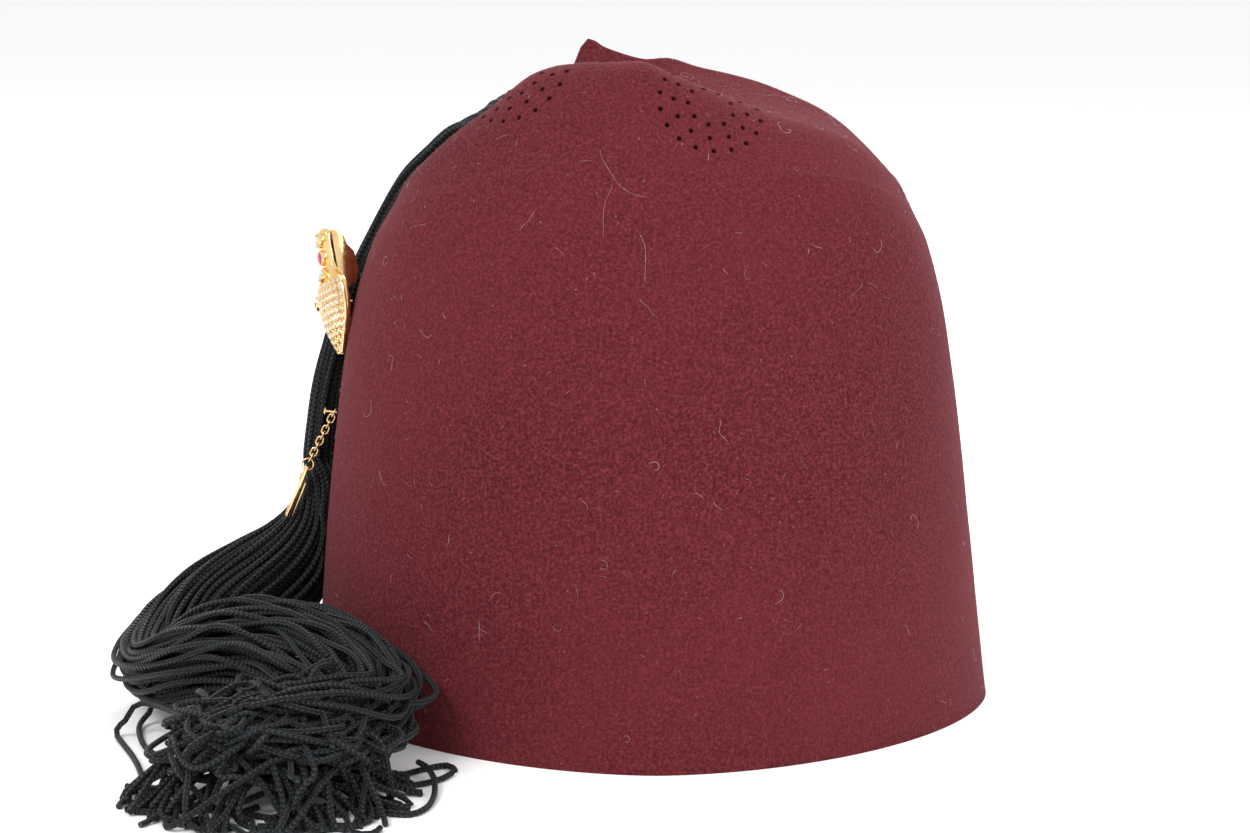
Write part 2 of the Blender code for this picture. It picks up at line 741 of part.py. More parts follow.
def channel(name, frame, half_width, inset):
    """The bracket's side drawn out to both sides, or a smaller one inside it."""
    middle_back = sum(back for back, _ in BRACKET_ROWS) / len(BRACKET_ROWS)
    middle_down = sum(down for _, down in BRACKET_ROWS) / len(BRACKET_ROWS)
    bm = bmesh.new()
    sides = []
    for across in (-half_width, half_width):
        ring = []
        for back, down in BRACKET_ROWS:
            depth = mix(back, middle_back, inset) * BROOCH_WIDTH
            drop = mix(down, middle_down, inset)
            corner = Vector((across, BROOCH_HEIGHT * (0.5 - drop), -SEAT_GAP - depth))
            ring.append(bm.verts.new(frame @ corner))
        sides.append(ring)
    low, high = sides
    for k in range(len(low)):
        n = (k + 1) % len(low)
        bm.faces.new((low[k], low[n], high[n], high[k]))
    bm.faces.new(low)
    bm.faces.new(high)
    return mesh_of(name, bm)


def build_bracket(parts, cutters, frame, gold):
    """A stepped channel behind the brooch, which stands it off the tassel."""
    inner_width = BRACKET_WIDTH - 2 * BRACKET_METAL
    shape = channel("brooch_bracket", frame, BRACKET_WIDTH / 2, 0.0)
    bracket = place("brooch_bracket", shape, parts, gold)
    hollow = channel("bracket_hollow", frame, inner_width / 2, 0.22)
    boolean(bracket, hide(place("bracket_hollow", hollow, cutters)), "DIFFERENCE")
    mouth = bmesh.new()
    sized = Matrix.Diagonal((inner_width, BROOCH_HEIGHT * 0.3, 0.006, 1))
    at = frame @ Matrix.Translation((0, BROOCH_HEIGHT * 0.26, -SEAT_GAP)) @ sized
    bmesh.ops.create_cube(mouth, size=1, matrix=at)
    cutter = hide(place("bracket_mouth", mesh_of("bracket_mouth", mouth), cutters))
    boolean(bracket, cutter, "DIFFERENCE")
    return bracket


def build_post(parts, frame, tree, gold):
    """The plain post from the brooch's back to the felt, which holds the brooch."""
    out, down = POST_PLACE
    start = Vector((out * BROOCH_WIDTH / 2, BROOCH_HEIGHT * (0.5 - down), -SEAT_GAP))
    inward = (frame.to_3x3() @ Vector((0, 0, -1))).normalized()
    hit, _, _, distance = tree.ray_cast(frame @ start, inward)
    bm = bmesh.new()
    back = frame @ Matrix.Translation(start) @ Matrix.Rotation(math.pi, 4, "X")
    rod(bm, POST_DIAMETER / 2, distance - SEAT_GAP * 2.4, 8, back)
    place("brooch_post", mesh_of("brooch_post", bm), parts, gold)


def loop(name, length, width, wire, frame):
    """A chain link in the frame's XZ plane, long along Z."""
    bm = bmesh.new()
    half = (length - width) / 2
    rings = []
    for k in range(LINK_SIDES):
        angle = 2 * math.pi * (k + 0.5) / LINK_SIDES
        radius = (width - wire) / 2
        outward = Vector((math.cos(angle), 0, math.sin(angle)))
        centre = outward * radius + Vector((0, 0, math.copysign(half, math.sin(angle))))
        ring = []
        for j in range(WIRE_SIDES):
            turn = 2 * math.pi * j / WIRE_SIDES
            offset = outward * math.cos(turn) + Vector((0, 1, 0)) * math.sin(turn)
            ring.append(bm.verts.new(frame @ (centre + offset * wire / 2)))
        rings.append(ring)
    for k in range(LINK_SIDES):
        low, high = rings[k], rings[(k + 1) % LINK_SIDES]
        for j in range(WIRE_SIDES):
            n = (j + 1) % WIRE_SIDES
            bm.faces.new((low[j], low[n], high[n], high[j]))
    return mesh_of(name, bm)


def along(start, end, turn):
    """A frame at the start with its Z towards the end, turned about it."""
    z = (end - start).normalized()
    x = Vector((0, 1, 0)).cross(z).normalized()
    turned = Matrix((x, z.cross(x), z)).transposed().to_4x4()
    return Matrix.Translation(start) @ turned @ Matrix.Rotation(turn, 4, "Z")


def build_chain(parts, gold):
    """The cable chain and its ring. Returns the ring's middle."""
    start = in_hat(*CHAIN_START, CROWN_HEIGHT)
    end = in_hat(*CHAIN_END, CROWN_HEIGHT)
    step = (end - start).normalized()
    pitch = LINK_LENGTH - 2 * LINK_WIRE - LINK_SLACK
    first = start + step * ((LINK_LENGTH - STUD_DIAMETER) / 2 - LINK_WIRE - LINK_SLACK * 1.4)
    for k in range(LINK_COUNT):
        centre = first + step * pitch * k
        frame = along(centre, centre + step, math.radians(90 * ((k + 1) % 2)))
        name = "chain_link_%02d" % (k + 1)
        place(name, loop(name, LINK_LENGTH, LINK_WIDTH, LINK_WIRE, frame), parts, gold)
    reach = pitch * (LINK_COUNT - 1) + (LINK_LENGTH + RING_DIAMETER) / 2 - 2 * LINK_WIRE - LINK_SLACK
    centre = first + step * reach
    frame = along(centre, centre + step, math.radians(90 * ((LINK_COUNT + 1) % 2)))
    place("jump_ring", loop("jump_ring", RING_DIAMETER, RING_DIAMETER, LINK_WIRE, frame), parts, gold)
    return centre


def build_stud(parts, cutters, tree, gold):
    """The small headed pin in the felt that carries the chain's first link."""
    start = in_hat(*CHAIN_START, CROWN_HEIGHT)
    hit, normal, _, _ = tree.find_nearest(start)
    turned = normal.to_track_quat("Z", "Y").to_matrix().to_4x4()
    seat = Matrix.Translation(hit + normal * SEAT_GAP) @ turned
    stud = bmesh.new()
    rod(stud, STUD_DIAMETER / 2, STUD_LENGTH, 8, seat)
    pin = place("chain_stud", mesh_of("chain_stud", stud), parts, gold)
    head = bmesh.new()
    rod(head, STUD_HEAD / 2, LINK_WIRE, 10, seat @ Matrix.Translation((0, 0, STUD_LENGTH - LINK_WIRE)))
    boolean(pin, hide(place("stud_head", mesh_of("stud_head", head), cutters)), "UNION")


def drop_frame(ring_middle):
    """The drop bar's own frame: Z down its length from its hole, X across it, Y out of its front."""
    z = Vector(DROP_LEAN).normalized()
    y = (Vector((-1, 0, 0)) - z * z.dot(Vector((-1, 0, 0)))).normalized()
    x = y.cross(z)
    turned = Matrix((x, y, z)).transposed().to_4x4()
    hole = ring_middle + z * (RING_DIAMETER - LINK_WIRE) / 2
    return Matrix.Translation(hole) @ turned


def slab(bm, width, depth, length, frame):
    """A block centred across the frame's X and Y and running along its Z from 0."""
    sized = Matrix.Diagonal((width, depth, length, 1))
    bmesh.ops.create_cube(bm, size=1, matrix=frame @ Matrix.Translation((0, 0, length / 2)) @ sized)


def build_drop(parts, cutters, ring_middle, gold):
    """The drop bar with small stones at both ends, and the thin spring strip behind it."""
    frame = drop_frame(ring_middle)
    top = frame @ Matrix.Translation((0, 0, -DROP_EDGE))
    bar = bmesh.new()
    slab(bar, DROP_WIDTH, DROP_METAL, DROP_LENGTH, top)
    drop = place("drop_bar", mesh_of("drop_bar", bar), parts, gold)
    edge = drop.modifiers.new("edge", "BEVEL")
    edge.width = DROP_METAL * 0.3
    edge.segments = 1
    stones = bmesh.new()
    quarter = Matrix.Rotation(-math.radians(90), 4, "X")
    for down in (0.24, 0.82, 0.93):
        for aside in (-0.24, 0.24):
            at = Matrix.Translation((aside * DROP_WIDTH, DROP_METAL * 0.3, DROP_LENGTH * down))
            seat = top @ at @ quarter
            rod(stones, DROP_WIDTH * 0.21, DROP_METAL * 0.9, STONE_SIDES, seat, DROP_WIDTH * 0.12)
    boolean(drop, hide(place("drop_stones", mesh_of("drop_stones", stones), cutters)), "UNION")
    hole = bmesh.new()
    through = frame @ Matrix.Translation((0, -DROP_METAL * 2, 0)) @ quarter
    rod(hole, DROP_HOLE / 2, DROP_METAL * 4, 12, through)
    boolean(drop, hide(place("drop_hole", mesh_of("drop_hole", hole), cutters)), "DIFFERENCE")
    strip = bmesh.new()
    behind = -(DROP_METAL + CLIP_METAL) / 2 - DROP_GAP
    start = Matrix.Translation((0, behind, DROP_EDGE + RING_DIAMETER / 2))
    slab(strip, CLIP_WIDTH, CLIP_METAL, DROP_LENGTH * 0.66, frame @ start)
    place("drop_clip", mesh_of("drop_clip", strip), parts, gold)


def build_button(parts, tree, cord):
    """The plain button in the pit, beside the tassel's head."""
    above = Vector((BUTTON_ACROSS * HALF_WIDTH, 0, CROWN_HEIGHT * 1.5))
    hit, normal, _, _ = tree.ray_cast(above, Vector((0, 0, -1)))
    turned = normal.to_track_quat("Z", "Y").to_matrix().to_4x4()
    seat = Matrix.Translation(hit + normal * (SEAT_GAP + BUTTON_LIFT)) @ turned
    bm = bmesh.new()
    rod(bm, BUTTON_DIAMETER / 2, BUTTON_HEIGHT, 16, seat, BUTTON_DIAMETER * 0.3)
    place("top_button", mesh_of("top_button", bm), parts, cord)


def centre(parts, cutters):
    """Moves everything so that the whole object's box stands centred on the origin."""
    bpy.context.view_layer.update()
    graph = bpy.context.evaluated_depsgraph_get()
    corners = [Vector(c) for thing in parts.objects for c in thing.evaluated_get(graph).bound_box]
    low = Vector(min(c[k] for c in corners) for k in range(3))
    high = Vector(max(c[k] for c in corners) for k in range(3))
    shift = Matrix.Translation((-(low.x + high.x) / 2, -(low.y + high.y) / 2, -low.z))
    for thing in list(parts.objects) + list(cutters.objects):
        thing.data.transform(shift)
        thing.data.update()
    return shift


def main():
    clear_scene()
    parts = collection("felt fez", True)
    cutters = collection("cutters", False)
    felt = finish("felt", (0.17, 0.022, 0.030), 0.95)
    cord = finish("black cord", (0.012, 0.013, 0.015), 0.7)
    gold = finish("gold", (0.83, 0.58, 0.24), 0.25, 1.0)
    red = finish("red stone", (0.45, 0.01, 0.05), 0.08)
    clear = finish("clear stone", (0.85, 0.87, 0.90), 0.05)
    floor_block = hide(block_below("floor_block", cutters))
    build_crown(parts, cutters, floor_block, felt)
    outer = crown_shell()
    tree = tree_of(outer)
    bpy.data.meshes.remove(outer)
    build_tassel(parts, cutters, floor_block, tree, cord)
    build_button(parts, tree, cord)
    frame = build_brooch(parts, cutters, gold, red, clear)
    build_bracket(parts, cutters, frame, gold)
    build_post(parts, frame, tree, gold)
    build_stud(parts, cutters, tree, gold)
    build_drop(parts, cutters, build_chain(parts, gold), gold)
    return centre(parts, cutters)


SHIFT = main()
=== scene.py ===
# %% [markdown]
# # A soft felt fez with a long black tassel
# This lesson dresses the plain solids of a hat with felt, cord, gold and stones. The hat is a felt
# cap that has been stored flat and stood up again, so its rim is a pointed oval and its old flat
# top is folded into two ridges with a pit between them. Everything is built in metres, in the
# same place as the solids, and each piece says at the end which solid it stands for.

# %% Load the solids
import math
import random

import bmesh
import bpy
import numpy as np
from mathutils import Matrix, Vector, noise
from mathutils.bvhtree import BVHTree


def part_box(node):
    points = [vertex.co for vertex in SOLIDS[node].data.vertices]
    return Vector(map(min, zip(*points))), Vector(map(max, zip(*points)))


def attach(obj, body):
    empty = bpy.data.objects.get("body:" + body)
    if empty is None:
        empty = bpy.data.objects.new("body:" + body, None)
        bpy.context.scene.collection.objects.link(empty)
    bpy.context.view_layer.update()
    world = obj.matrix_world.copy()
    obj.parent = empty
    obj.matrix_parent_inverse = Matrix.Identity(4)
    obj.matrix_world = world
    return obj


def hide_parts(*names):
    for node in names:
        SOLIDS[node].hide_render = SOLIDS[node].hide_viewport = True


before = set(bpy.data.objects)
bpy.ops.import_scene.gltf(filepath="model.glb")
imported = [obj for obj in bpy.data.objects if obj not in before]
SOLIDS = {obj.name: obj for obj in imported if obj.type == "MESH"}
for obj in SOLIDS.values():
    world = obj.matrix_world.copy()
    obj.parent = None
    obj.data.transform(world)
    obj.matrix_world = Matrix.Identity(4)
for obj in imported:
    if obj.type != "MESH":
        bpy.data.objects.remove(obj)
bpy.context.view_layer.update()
MM = 0.001
low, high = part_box("felt_crown")
HAT = Vector(((low.x + high.x) / 2, (low.y + high.y) / 2, 0))
print("solids:", len(SOLIDS), "middle of the rim:", [round(v / MM, 1) for v in HAT])

# %% [markdown]
# ## The camera
# The picture looks slightly down at the hat from a little above it, with a long lens, which
# keeps the sides almost parallel. The camera comes first, because hairs of lint and the stray
# cords are placed by where the camera sees them.

# %% Camera
CAMERA_PLACE = HAT + Vector((-8.5, -816, 238.3)) * MM
CAMERA_PITCH = 79.35
CAMERA_LENS = 79.4
CAMERA_SENSOR = 36
PICTURE_WIDTH, PICTURE_HEIGHT = 1250, 833

lens = bpy.data.cameras.new("camera")
lens.lens, lens.sensor_width = CAMERA_LENS, CAMERA_SENSOR
lens.clip_start = 0.02
camera = bpy.data.objects.new("camera", lens)
camera.location = CAMERA_PLACE
camera.rotation_euler = (math.radians(CAMERA_PITCH), 0, 0)
bpy.context.scene.collection.objects.link(camera)
bpy.context.scene.camera = camera


def sight(px, py):
    """The direction in which the camera sees a point of the picture."""
    focal = CAMERA_LENS / CAMERA_SENSOR * PICTURE_WIDTH
    ray = Vector((px - PICTURE_WIDTH / 2, PICTURE_HEIGHT / 2 - py, -focal))
    return (camera.rotation_euler.to_matrix() @ ray).normalized()


def floor_at(px, py, height=0.0):
    """The point at that height over the floor that the camera sees there."""
    ray = sight(px, py)
    return CAMERA_PLACE + ray * ((height - CAMERA_PLACE.z) / ray.z)


bpy.context.scene.view_settings.view_transform = "Standard"
print("camera at", [round(v, 3) for v in camera.location])

# %% [markdown]
# ## Small helpers
# An operator works on whatever is selected, so each step first selects the one thing it is
# about. `finished` names a piece, gives it its material, hangs it on the hat, which is a single
# rigid body here, and hides the solids it stands for.

# %% Helpers
def only(thing):
    """Nothing but this object is selected, and it is the active one."""
    if bpy.context.object and bpy.context.object.mode != "OBJECT":
        bpy.ops.object.mode_set(mode="OBJECT")
    bpy.ops.object.select_all(action="DESELECT")
    thing.select_set(True)
    bpy.context.view_layer.objects.active = thing
    return thing


def nothing():
    bpy.ops.object.select_all(action="DESELECT")


def settled(thing):
    only(thing)
    bpy.ops.object.transform_apply(location=True, rotation=True, scale=True)
    return thing


def moved(thing, matrix):
    """The object's mesh taken to a frame in space, with the object itself left at the origin."""
    settled(thing)
    thing.data.transform(matrix)
    thing.data.update()
    return thing


def apply_all(thing):
    only(thing)
    for modifier in list(thing.modifiers):
        bpy.ops.object.modifier_apply(modifier=modifier.name)
    return thing


def copied(thing, name, matrix):
    """A copy with its own mesh, taken to another frame in space."""
    twin = thing.copy()
    twin.data = thing.data.copy()
    twin.name = twin.data.name = name
    twin.data.transform(matrix)
    bpy.context.scene.collection.objects.link(twin)
    return twin


def joined(things, name):
    only(things[0])
    for thing in things:
        thing.select_set(True)
    bpy.ops.object.join()
    made = bpy.context.object
    made.name = made.data.name = name
    return made


def choose(thing, test):
    """In edit mode, selects the faces whose middle and normal pass the test."""
    bm = bmesh.from_edit_mesh(thing.data)
    bm.select_mode = {"FACE"}
    for face in bm.faces:
        face.select_set(bool(test(face.calc_center_median(), face.normal)))
    bm.select_flush_mode()
    bmesh.update_edit_mesh(thing.data)


def editing(thing):
    only(thing)
    bpy.ops.object.mode_set(mode="EDIT")
    bpy.ops.mesh.select_mode(type="FACE")


def outward(thing, merge=1e-6):
    """Doubles merged and faces turned outwards."""
    editing(thing)
    bpy.ops.mesh.select_all(action="SELECT")
    bpy.ops.mesh.remove_doubles(threshold=merge)
    bpy.ops.mesh.normals_make_consistent(inside=False)
    bpy.ops.object.mode_set(mode="OBJECT")


def remove(thing):
    bpy.data.objects.remove(thing, do_unlink=True)


def rounded(thing, width, segments, degrees):
    """A bevel on each edge that turns by more than this angle."""
    bevel = thing.modifiers.new("edge", "BEVEL")
    bevel.width, bevel.segments, bevel.limit_method = width, segments, "ANGLE"
    bevel.angle_limit = math.radians(degrees)
    return apply_all(thing)


def cut_with(thing, tool):
    """The tool's shape taken out of the thing. The tool is removed."""
    cut = thing.modifiers.new("cut", "BOOLEAN")
    cut.operation, cut.solver, cut.object = "DIFFERENCE", "MANIFOLD", tool
    apply_all(thing)
    remove(tool)


def standing(place, normal):
    """A frame at a place, with Z along the normal."""
    return Matrix.Translation(place) @ normal.to_track_quat("Z", "Y").to_matrix().to_4x4()


def finished(thing, name, surface, slot, *nodes, smooth=40):
    """Names a piece, gives it its material and ties it to the hat."""
    thing.name = thing.data.name = name
    thing.data.materials.clear()
    thing.data.materials.append(surface)
    only(thing)
    if smooth:
        bpy.ops.object.shade_smooth_by_angle(angle=math.radians(smooth))
    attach(thing, "root")
    if nodes:
        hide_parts(*nodes)
    print(name, len(thing.data.polygons), "faces")
    return thing


def mesh_object(name, points, faces):
    mesh = bpy.data.meshes.new(name)
    mesh.from_pydata(points, [], faces)
    mesh.update()
    made = bpy.data.objects.new(name, mesh)
    bpy.context.scene.collection.objects.link(made)
    return made


# %% [markdown]
# ## Materials
# Each finish is a small node tree on object coordinates, in metres, so a scale of 600 gives
# spots of about 1.7 mm. A helper makes the tree and links sockets by name, which keeps the
# recipes short enough to read.

# %% Material helpers
class Recipe:
    """A material's node tree, with its shader, ready for nodes to be added to it."""

    def __init__(self, name, **values):
        self.material = bpy.data.materials.new(name)
        self.material.use_nodes = True
        self.tree = self.material.node_tree
        self.shader = self.tree.nodes["Principled BSDF"]
        self.fill(self.shader, values)
        self.spot = None

    def fill(self, node, values):
        for key, value in values.items():
            socket = node.inputs[key.replace("_", " ")]
            if isinstance(value, bpy.types.NodeSocket):
                self.tree.links.new(value, socket)
            elif socket.type == "RGBA" and len(value) == 3:
                socket.default_value = (*value, 1.0)
            else:
                socket.default_value = value

    def add(self, kind, settings=None, **values):
        node = self.tree.nodes.new("ShaderNode" + kind)
        for key, value in (settings or {}).items():
            setattr(node, key, value)
        self.fill(node, values)
        return node

    def place(self, name="Object"):
        if self.spot is None:
            self.spot = self.add("TexCoord")
        return self.spot.outputs[name]

    def noise(self, scale, detail=2.0, roughness=0.5, vector=None):
        node = self.add("TexNoise", Vector=vector or self.place(), Scale=scale, Detail=detail,
                        Roughness=roughness)
        return node.outputs[0]

    def maths(self, operation, first, second=None, third=None):
        node = self.add("Math", {"operation": operation})
        for k, value in enumerate((first, second, third)):
            if isinstance(value, bpy.types.NodeSocket):
                self.tree.links.new(value, node.inputs[k])
            elif value is not None:
                node.inputs[k].default_value = value
        return node.outputs[0]

    def ramp(self, factor, *stops):
        """Colours along a factor: each stop is its place and its colour."""
        node = self.add("ValToRGB")
        self.tree.links.new(factor, node.inputs[0])
        band = node.color_ramp.elements
        while len(band) < len(stops):
            band.new(0.5)
        for element, (where, colour) in zip(band, stops):
            element.position = where
            shade = colour if isinstance(colour, tuple) else (colour,) * 3
            element.color = (*shade, 1.0)
        return node.outputs[0]

    def blend(self, factor, first, second, kind="MIX"):
        node = self.add("Mix", {"data_type": "RGBA", "blend_type": kind})
        for k, value in ((0, factor), (6, first), (7, second)):
            if isinstance(value, bpy.types.NodeSocket):
                self.tree.links.new(value, node.inputs[k])
            elif k:
                node.inputs[k].default_value = (*value, 1.0)
            else:
                node.inputs[k].default_value = value
        return node.outputs[2]

    def bump(self, height, strength, distance, below=None):
        node = self.add("Bump", Strength=strength, Distance=distance, Height=height)
        if below is not None:
            self.tree.links.new(below, node.inputs["Normal"])
        return node.outputs[0]

    def into(self, **sockets):
        self.fill(self.shader, sockets)
        return self.material


# %% [markdown]
# ## Felt
# Wool felt is a mat of fibres with no weave. Close up it shows three sizes of variation: broad
# clouds where the dye and the steam took unevenly, a mottle of about a millimetre, and the
# single fibres. Its nap catches light at grazing angles, which is what the sheen layer is for.

# %% Felt material
CLOUD_SCALE, MOTTLE_SCALE, FIBRE_SCALE, FLECK_SCALE = 16, 1150, 2400, 330.0
WINE_DARK, WINE = (0.036, 0.0036, 0.0054), (0.083, 0.0108, 0.0140)
WINE_PALE, WINE_CLOUD = (0.152, 0.0250, 0.0310), (0.112, 0.0155, 0.0180)

felt = Recipe("wine_red_felt", Roughness=0.95, Sheen_Roughness=0.42, Specular_IOR_Level=0.12)
clouds = felt.noise(CLOUD_SCALE, 3.0)
mottle = felt.noise(MOTTLE_SCALE, 3.0, 0.70)
fibres = felt.noise(FIBRE_SCALE, 2.0, 0.7)
base = felt.ramp(mottle, (0.32, WINE_DARK), (0.50, WINE), (0.68, WINE_PALE))
cloudy = felt.blend(felt.ramp(clouds, (0.35, 0.0), (0.70, 1.0)), base,
                    felt.blend(0.50, base, WINE_CLOUD))
grainy = felt.blend(0.50, cloudy, felt.ramp(fibres, (0.30, 0.25), (0.70, 0.80)), "OVERLAY")
flecks = felt.add("TexVoronoi", Vector=felt.place(), Scale=FLECK_SCALE)
near = felt.maths("LESS_THAN", flecks.outputs["Distance"], 0.10)
chosen = felt.maths("GREATER_THAN", felt.noise(900, 0.0), 0.66)
fleck = felt.maths("MULTIPLY", felt.maths("MULTIPLY", near, chosen), 0.22)
coloured = felt.blend(fleck, grainy, (0.50, 0.30, 0.31))
rough = felt.bump(fibres, 0.55, 0.00035)
napped = felt.bump(mottle, 0.60, 0.0006, rough)
FELT = felt.into(Base_Color=coloured, Normal=napped, Sheen_Weight=0.15,
                 Sheen_Tint=(0.80, 0.36, 0.42))
print("felt:", len(felt.tree.nodes), "nodes")

# %% [markdown]
# ## Black cord, gold and stones
# The tassel's cords are plaited rayon: shiny threads that cross in chevrons along each cord. The
# plait is drawn on the cord's own map, where U goes once round the cord and V runs along it in
# metres, so it follows every bend, and its colour is painted light: a painted highlight on each
# ridge and painted shade in each groove. The gold is a bright yellow plating with fine wear, and
# the stones are glass, so the clear and red ones refract.

# %% Cord material
PLAIT_COLUMNS = 3
PLAIT_PITCH = 1.5 * MM
PLAIT_SLOPE = 3.8

cord = Recipe("black_plaited_cord", Specular_IOR_Level=0.30, Sheen_Roughness=0.35)
apart = cord.add("SeparateXYZ", Vector=cord.place("UV"))
across = cord.maths("FRACT", cord.maths("MULTIPLY", apart.outputs["X"], float(PLAIT_COLUMNS)))
edge = cord.maths("MULTIPLY", cord.maths("ABSOLUTE", cord.maths("SUBTRACT", across, 0.5)), 2.0)
phase = cord.maths("MULTIPLY_ADD", apart.outputs["Y"], 2 * math.pi / PLAIT_PITCH,
                   cord.maths("MULTIPLY", edge, PLAIT_SLOPE))
ridge = cord.maths("MULTIPLY_ADD", cord.maths("SINE", phase), 0.5, 0.5)
groove = cord.maths("SUBTRACT", 1.0, cord.maths("POWER", edge, 3.0))
plait = cord.maths("MULTIPLY", ridge, groove)
threads = cord.noise(1500, 1.0)
# The cord's colour is painted light and shade: a pale painted highlight along each ridge of the
# plait and painted shade in each groove, with thread noise laid over it.
plait_painted_light = cord.ramp(plait, (0.10, (0.0006, 0.0008, 0.0009)), (0.55, (0.0036, 0.0047, 0.0056)),
                (0.95, (0.0270, 0.0325, 0.0375)))
painted_plait_light_and_threads = cord.blend(0.35, plait_painted_light, cord.ramp(threads, (0.3, 0.3), (0.7, 0.7)), "OVERLAY")
CORD = cord.into(Base_Color=painted_plait_light_and_threads, Roughness=cord.ramp(plait, (0.0, 0.70), (1.0, 0.38)),
                 Normal=cord.bump(plait, 1.0, 0.00055), Sheen_Weight=0.05,
                 Sheen_Tint=(0.75, 0.85, 0.95))
print("cord:", len(cord.tree.nodes), "nodes")

# %% Gold and glass
YELLOW_DEEP, YELLOW_BRIGHT = (0.80, 0.52, 0.22), (0.92, 0.68, 0.36)

gold = Recipe("bright_gold_plate", Metallic=1.0, Specular_Tint=(1.0, 0.93, 0.75))
worn = gold.noise(900, 3.0, 0.6)
patches = gold.noise(140, 2.0)
GOLD = gold.into(Base_Color=gold.ramp(patches, (0.3, YELLOW_DEEP), (0.7, YELLOW_BRIGHT)),
                 Roughness=gold.ramp(worn, (0.30, 0.09), (0.75, 0.27)),
                 Normal=gold.bump(worn, 0.12, 0.00006))

clear = Recipe("clear_glass", Base_Color=(0.96, 0.97, 1.0), Transmission_Weight=0.82, IOR=1.9)
CLEAR = clear.into(Roughness=clear.ramp(clear.noise(700, 1.0), (0.3, 0.01), (0.7, 0.06)))
red = Recipe("red_glass", Base_Color=(0.62, 0.012, 0.075), Transmission_Weight=0.45, IOR=1.8)
RED = red.into(Roughness=red.ramp(red.noise(700, 1.0), (0.3, 0.02), (0.7, 0.08)))
lint = Recipe("pale_lint", Roughness=0.8)
LINT = lint.into(Base_Color=lint.ramp(lint.noise(400, 1.0), (0.3, (0.34, 0.24, 0.25)),
                                      (0.7, (0.62, 0.52, 0.53))))
print("materials:", [m.name for m in (FELT, CORD, GOLD, CLEAR, RED, LINT)])

# %% [markdown]
# ## The felt's shape
# A real fez starts as a felt cone, steamed over a block. Here one flat grid plays the felt: its
# columns go round the hat and its rows climb from the rim, over the shoulder and the ridges, to
# the middle of the top. Every point is then moved to its place on the hat. The tables are the
# measures of the hat, as shares of the rim and of the height, and a smooth curve runs between
# their rows.

# %% Sizes of the hat
RIM_WIDTH, RIM_DEPTH, CROWN_HEIGHT = 0.204, 0.172, 0.192
TOP_WIDTH, TOP_DEPTH, FELT_THICKNESS = 0.141, 0.056, 0.0022
HALF_WIDTH, HALF_DEPTH = RIM_WIDTH / 2, RIM_DEPTH / 2

WALL_ROWS = (  # rise, width, depth, lean, roundness
    (0.00, 1.000, 1.000, 0.000, 1.75),
    (0.19, 0.976, 0.950, -0.011, 1.78),
    (0.38, 0.948, 0.887, -0.014, 1.82),
    (0.59, 0.912, 0.806, -0.017, 1.88),
    (0.80, 0.862, 0.712, -0.016, 1.94),
    (0.93, 0.808, 0.634, -0.010, 1.98),
    (1.00, 0.755, 0.575, -0.006, 2.00),
)
TOP_ROWS = (  # across, near, far, pit, shoulder, forward
    (-0.76, 0.770, 0.765, 0.000, 0.770, 1.00),
    (-0.69, 0.834, 0.808, 0.005, 0.796, 0.90),
    (-0.58, 0.897, 0.842, 0.015, 0.815, 0.72),
    (-0.46, 0.942, 0.872, 0.030, 0.832, 0.62),
    (-0.36, 0.982, 0.912, 0.060, 0.845, 0.62),
    (-0.29, 0.995, 0.940, 0.078, 0.853, 0.68),
    (-0.24, 0.998, 0.975, 0.088, 0.856, 0.75),
    (-0.20, 1.000, 1.022, 0.092, 0.858, 0.82),
    (-0.14, 1.001, 1.008, 0.090, 0.860, 0.92),
    (-0.03, 1.003, 0.990, 0.080, 0.862, 1.00),
    (0.05, 0.985, 0.992, 0.055, 0.860, 1.00),
    (0.13, 0.968, 0.980, 0.042, 0.856, 1.00),
    (0.24, 0.943, 0.967, 0.030, 0.850, 1.00),
    (0.35, 0.921, 0.951, 0.022, 0.846, 1.00),
    (0.49, 0.897, 0.919, 0.014, 0.838, 1.00),
    (0.58, 0.872, 0.884, 0.008, 0.826, 1.00),
    (0.69, 0.816, 0.822, 0.003, 0.800, 1.00),
    (0.76, 0.770, 0.765, 0.000, 0.770, 1.00),
)


# %% The hat's surface
def value(rows, column, at):
    """A column's value where the first column is at, on a smooth curve through the rows."""
    if at <= rows[0][0]:
        return rows[0][column]
    if at >= rows[-1][0]:
        return rows[-1][column]
    i = max(n for n in range(len(rows) - 1) if rows[n][0] <= at)

    def slope(n):
        low, high = max(n - 1, 0), min(n + 1, len(rows) - 1)
        return (rows[high][column] - rows[low][column]) / (rows[high][0] - rows[low][0])

    step = rows[i + 1][0] - rows[i][0]
    t = (at - rows[i][0]) / step
    return (rows[i][column] * (1 + 2 * t) * (1 - t) ** 2 + slope(i) * step * t * (1 - t) ** 2
            + rows[i + 1][column] * t * t * (3 - 2 * t) - slope(i + 1) * step * t * t * (1 - t))


def mix(a, b, t):
    return a + (b - a) * t


def oval(angle, half_width, half_depth, roundness):
    c, s = math.cos(angle), math.sin(angle)
    power = 2 / roundness
    return (half_width * math.copysign(abs(c) ** power, c),
            half_depth * math.copysign(abs(s) ** power, s))


def ridge_height(x, far):
    near_z, far_z = (value(TOP_ROWS, k, x / HALF_WIDTH) for k in (1, 2))
    return mix(near_z, far_z, far) * CROWN_HEIGHT


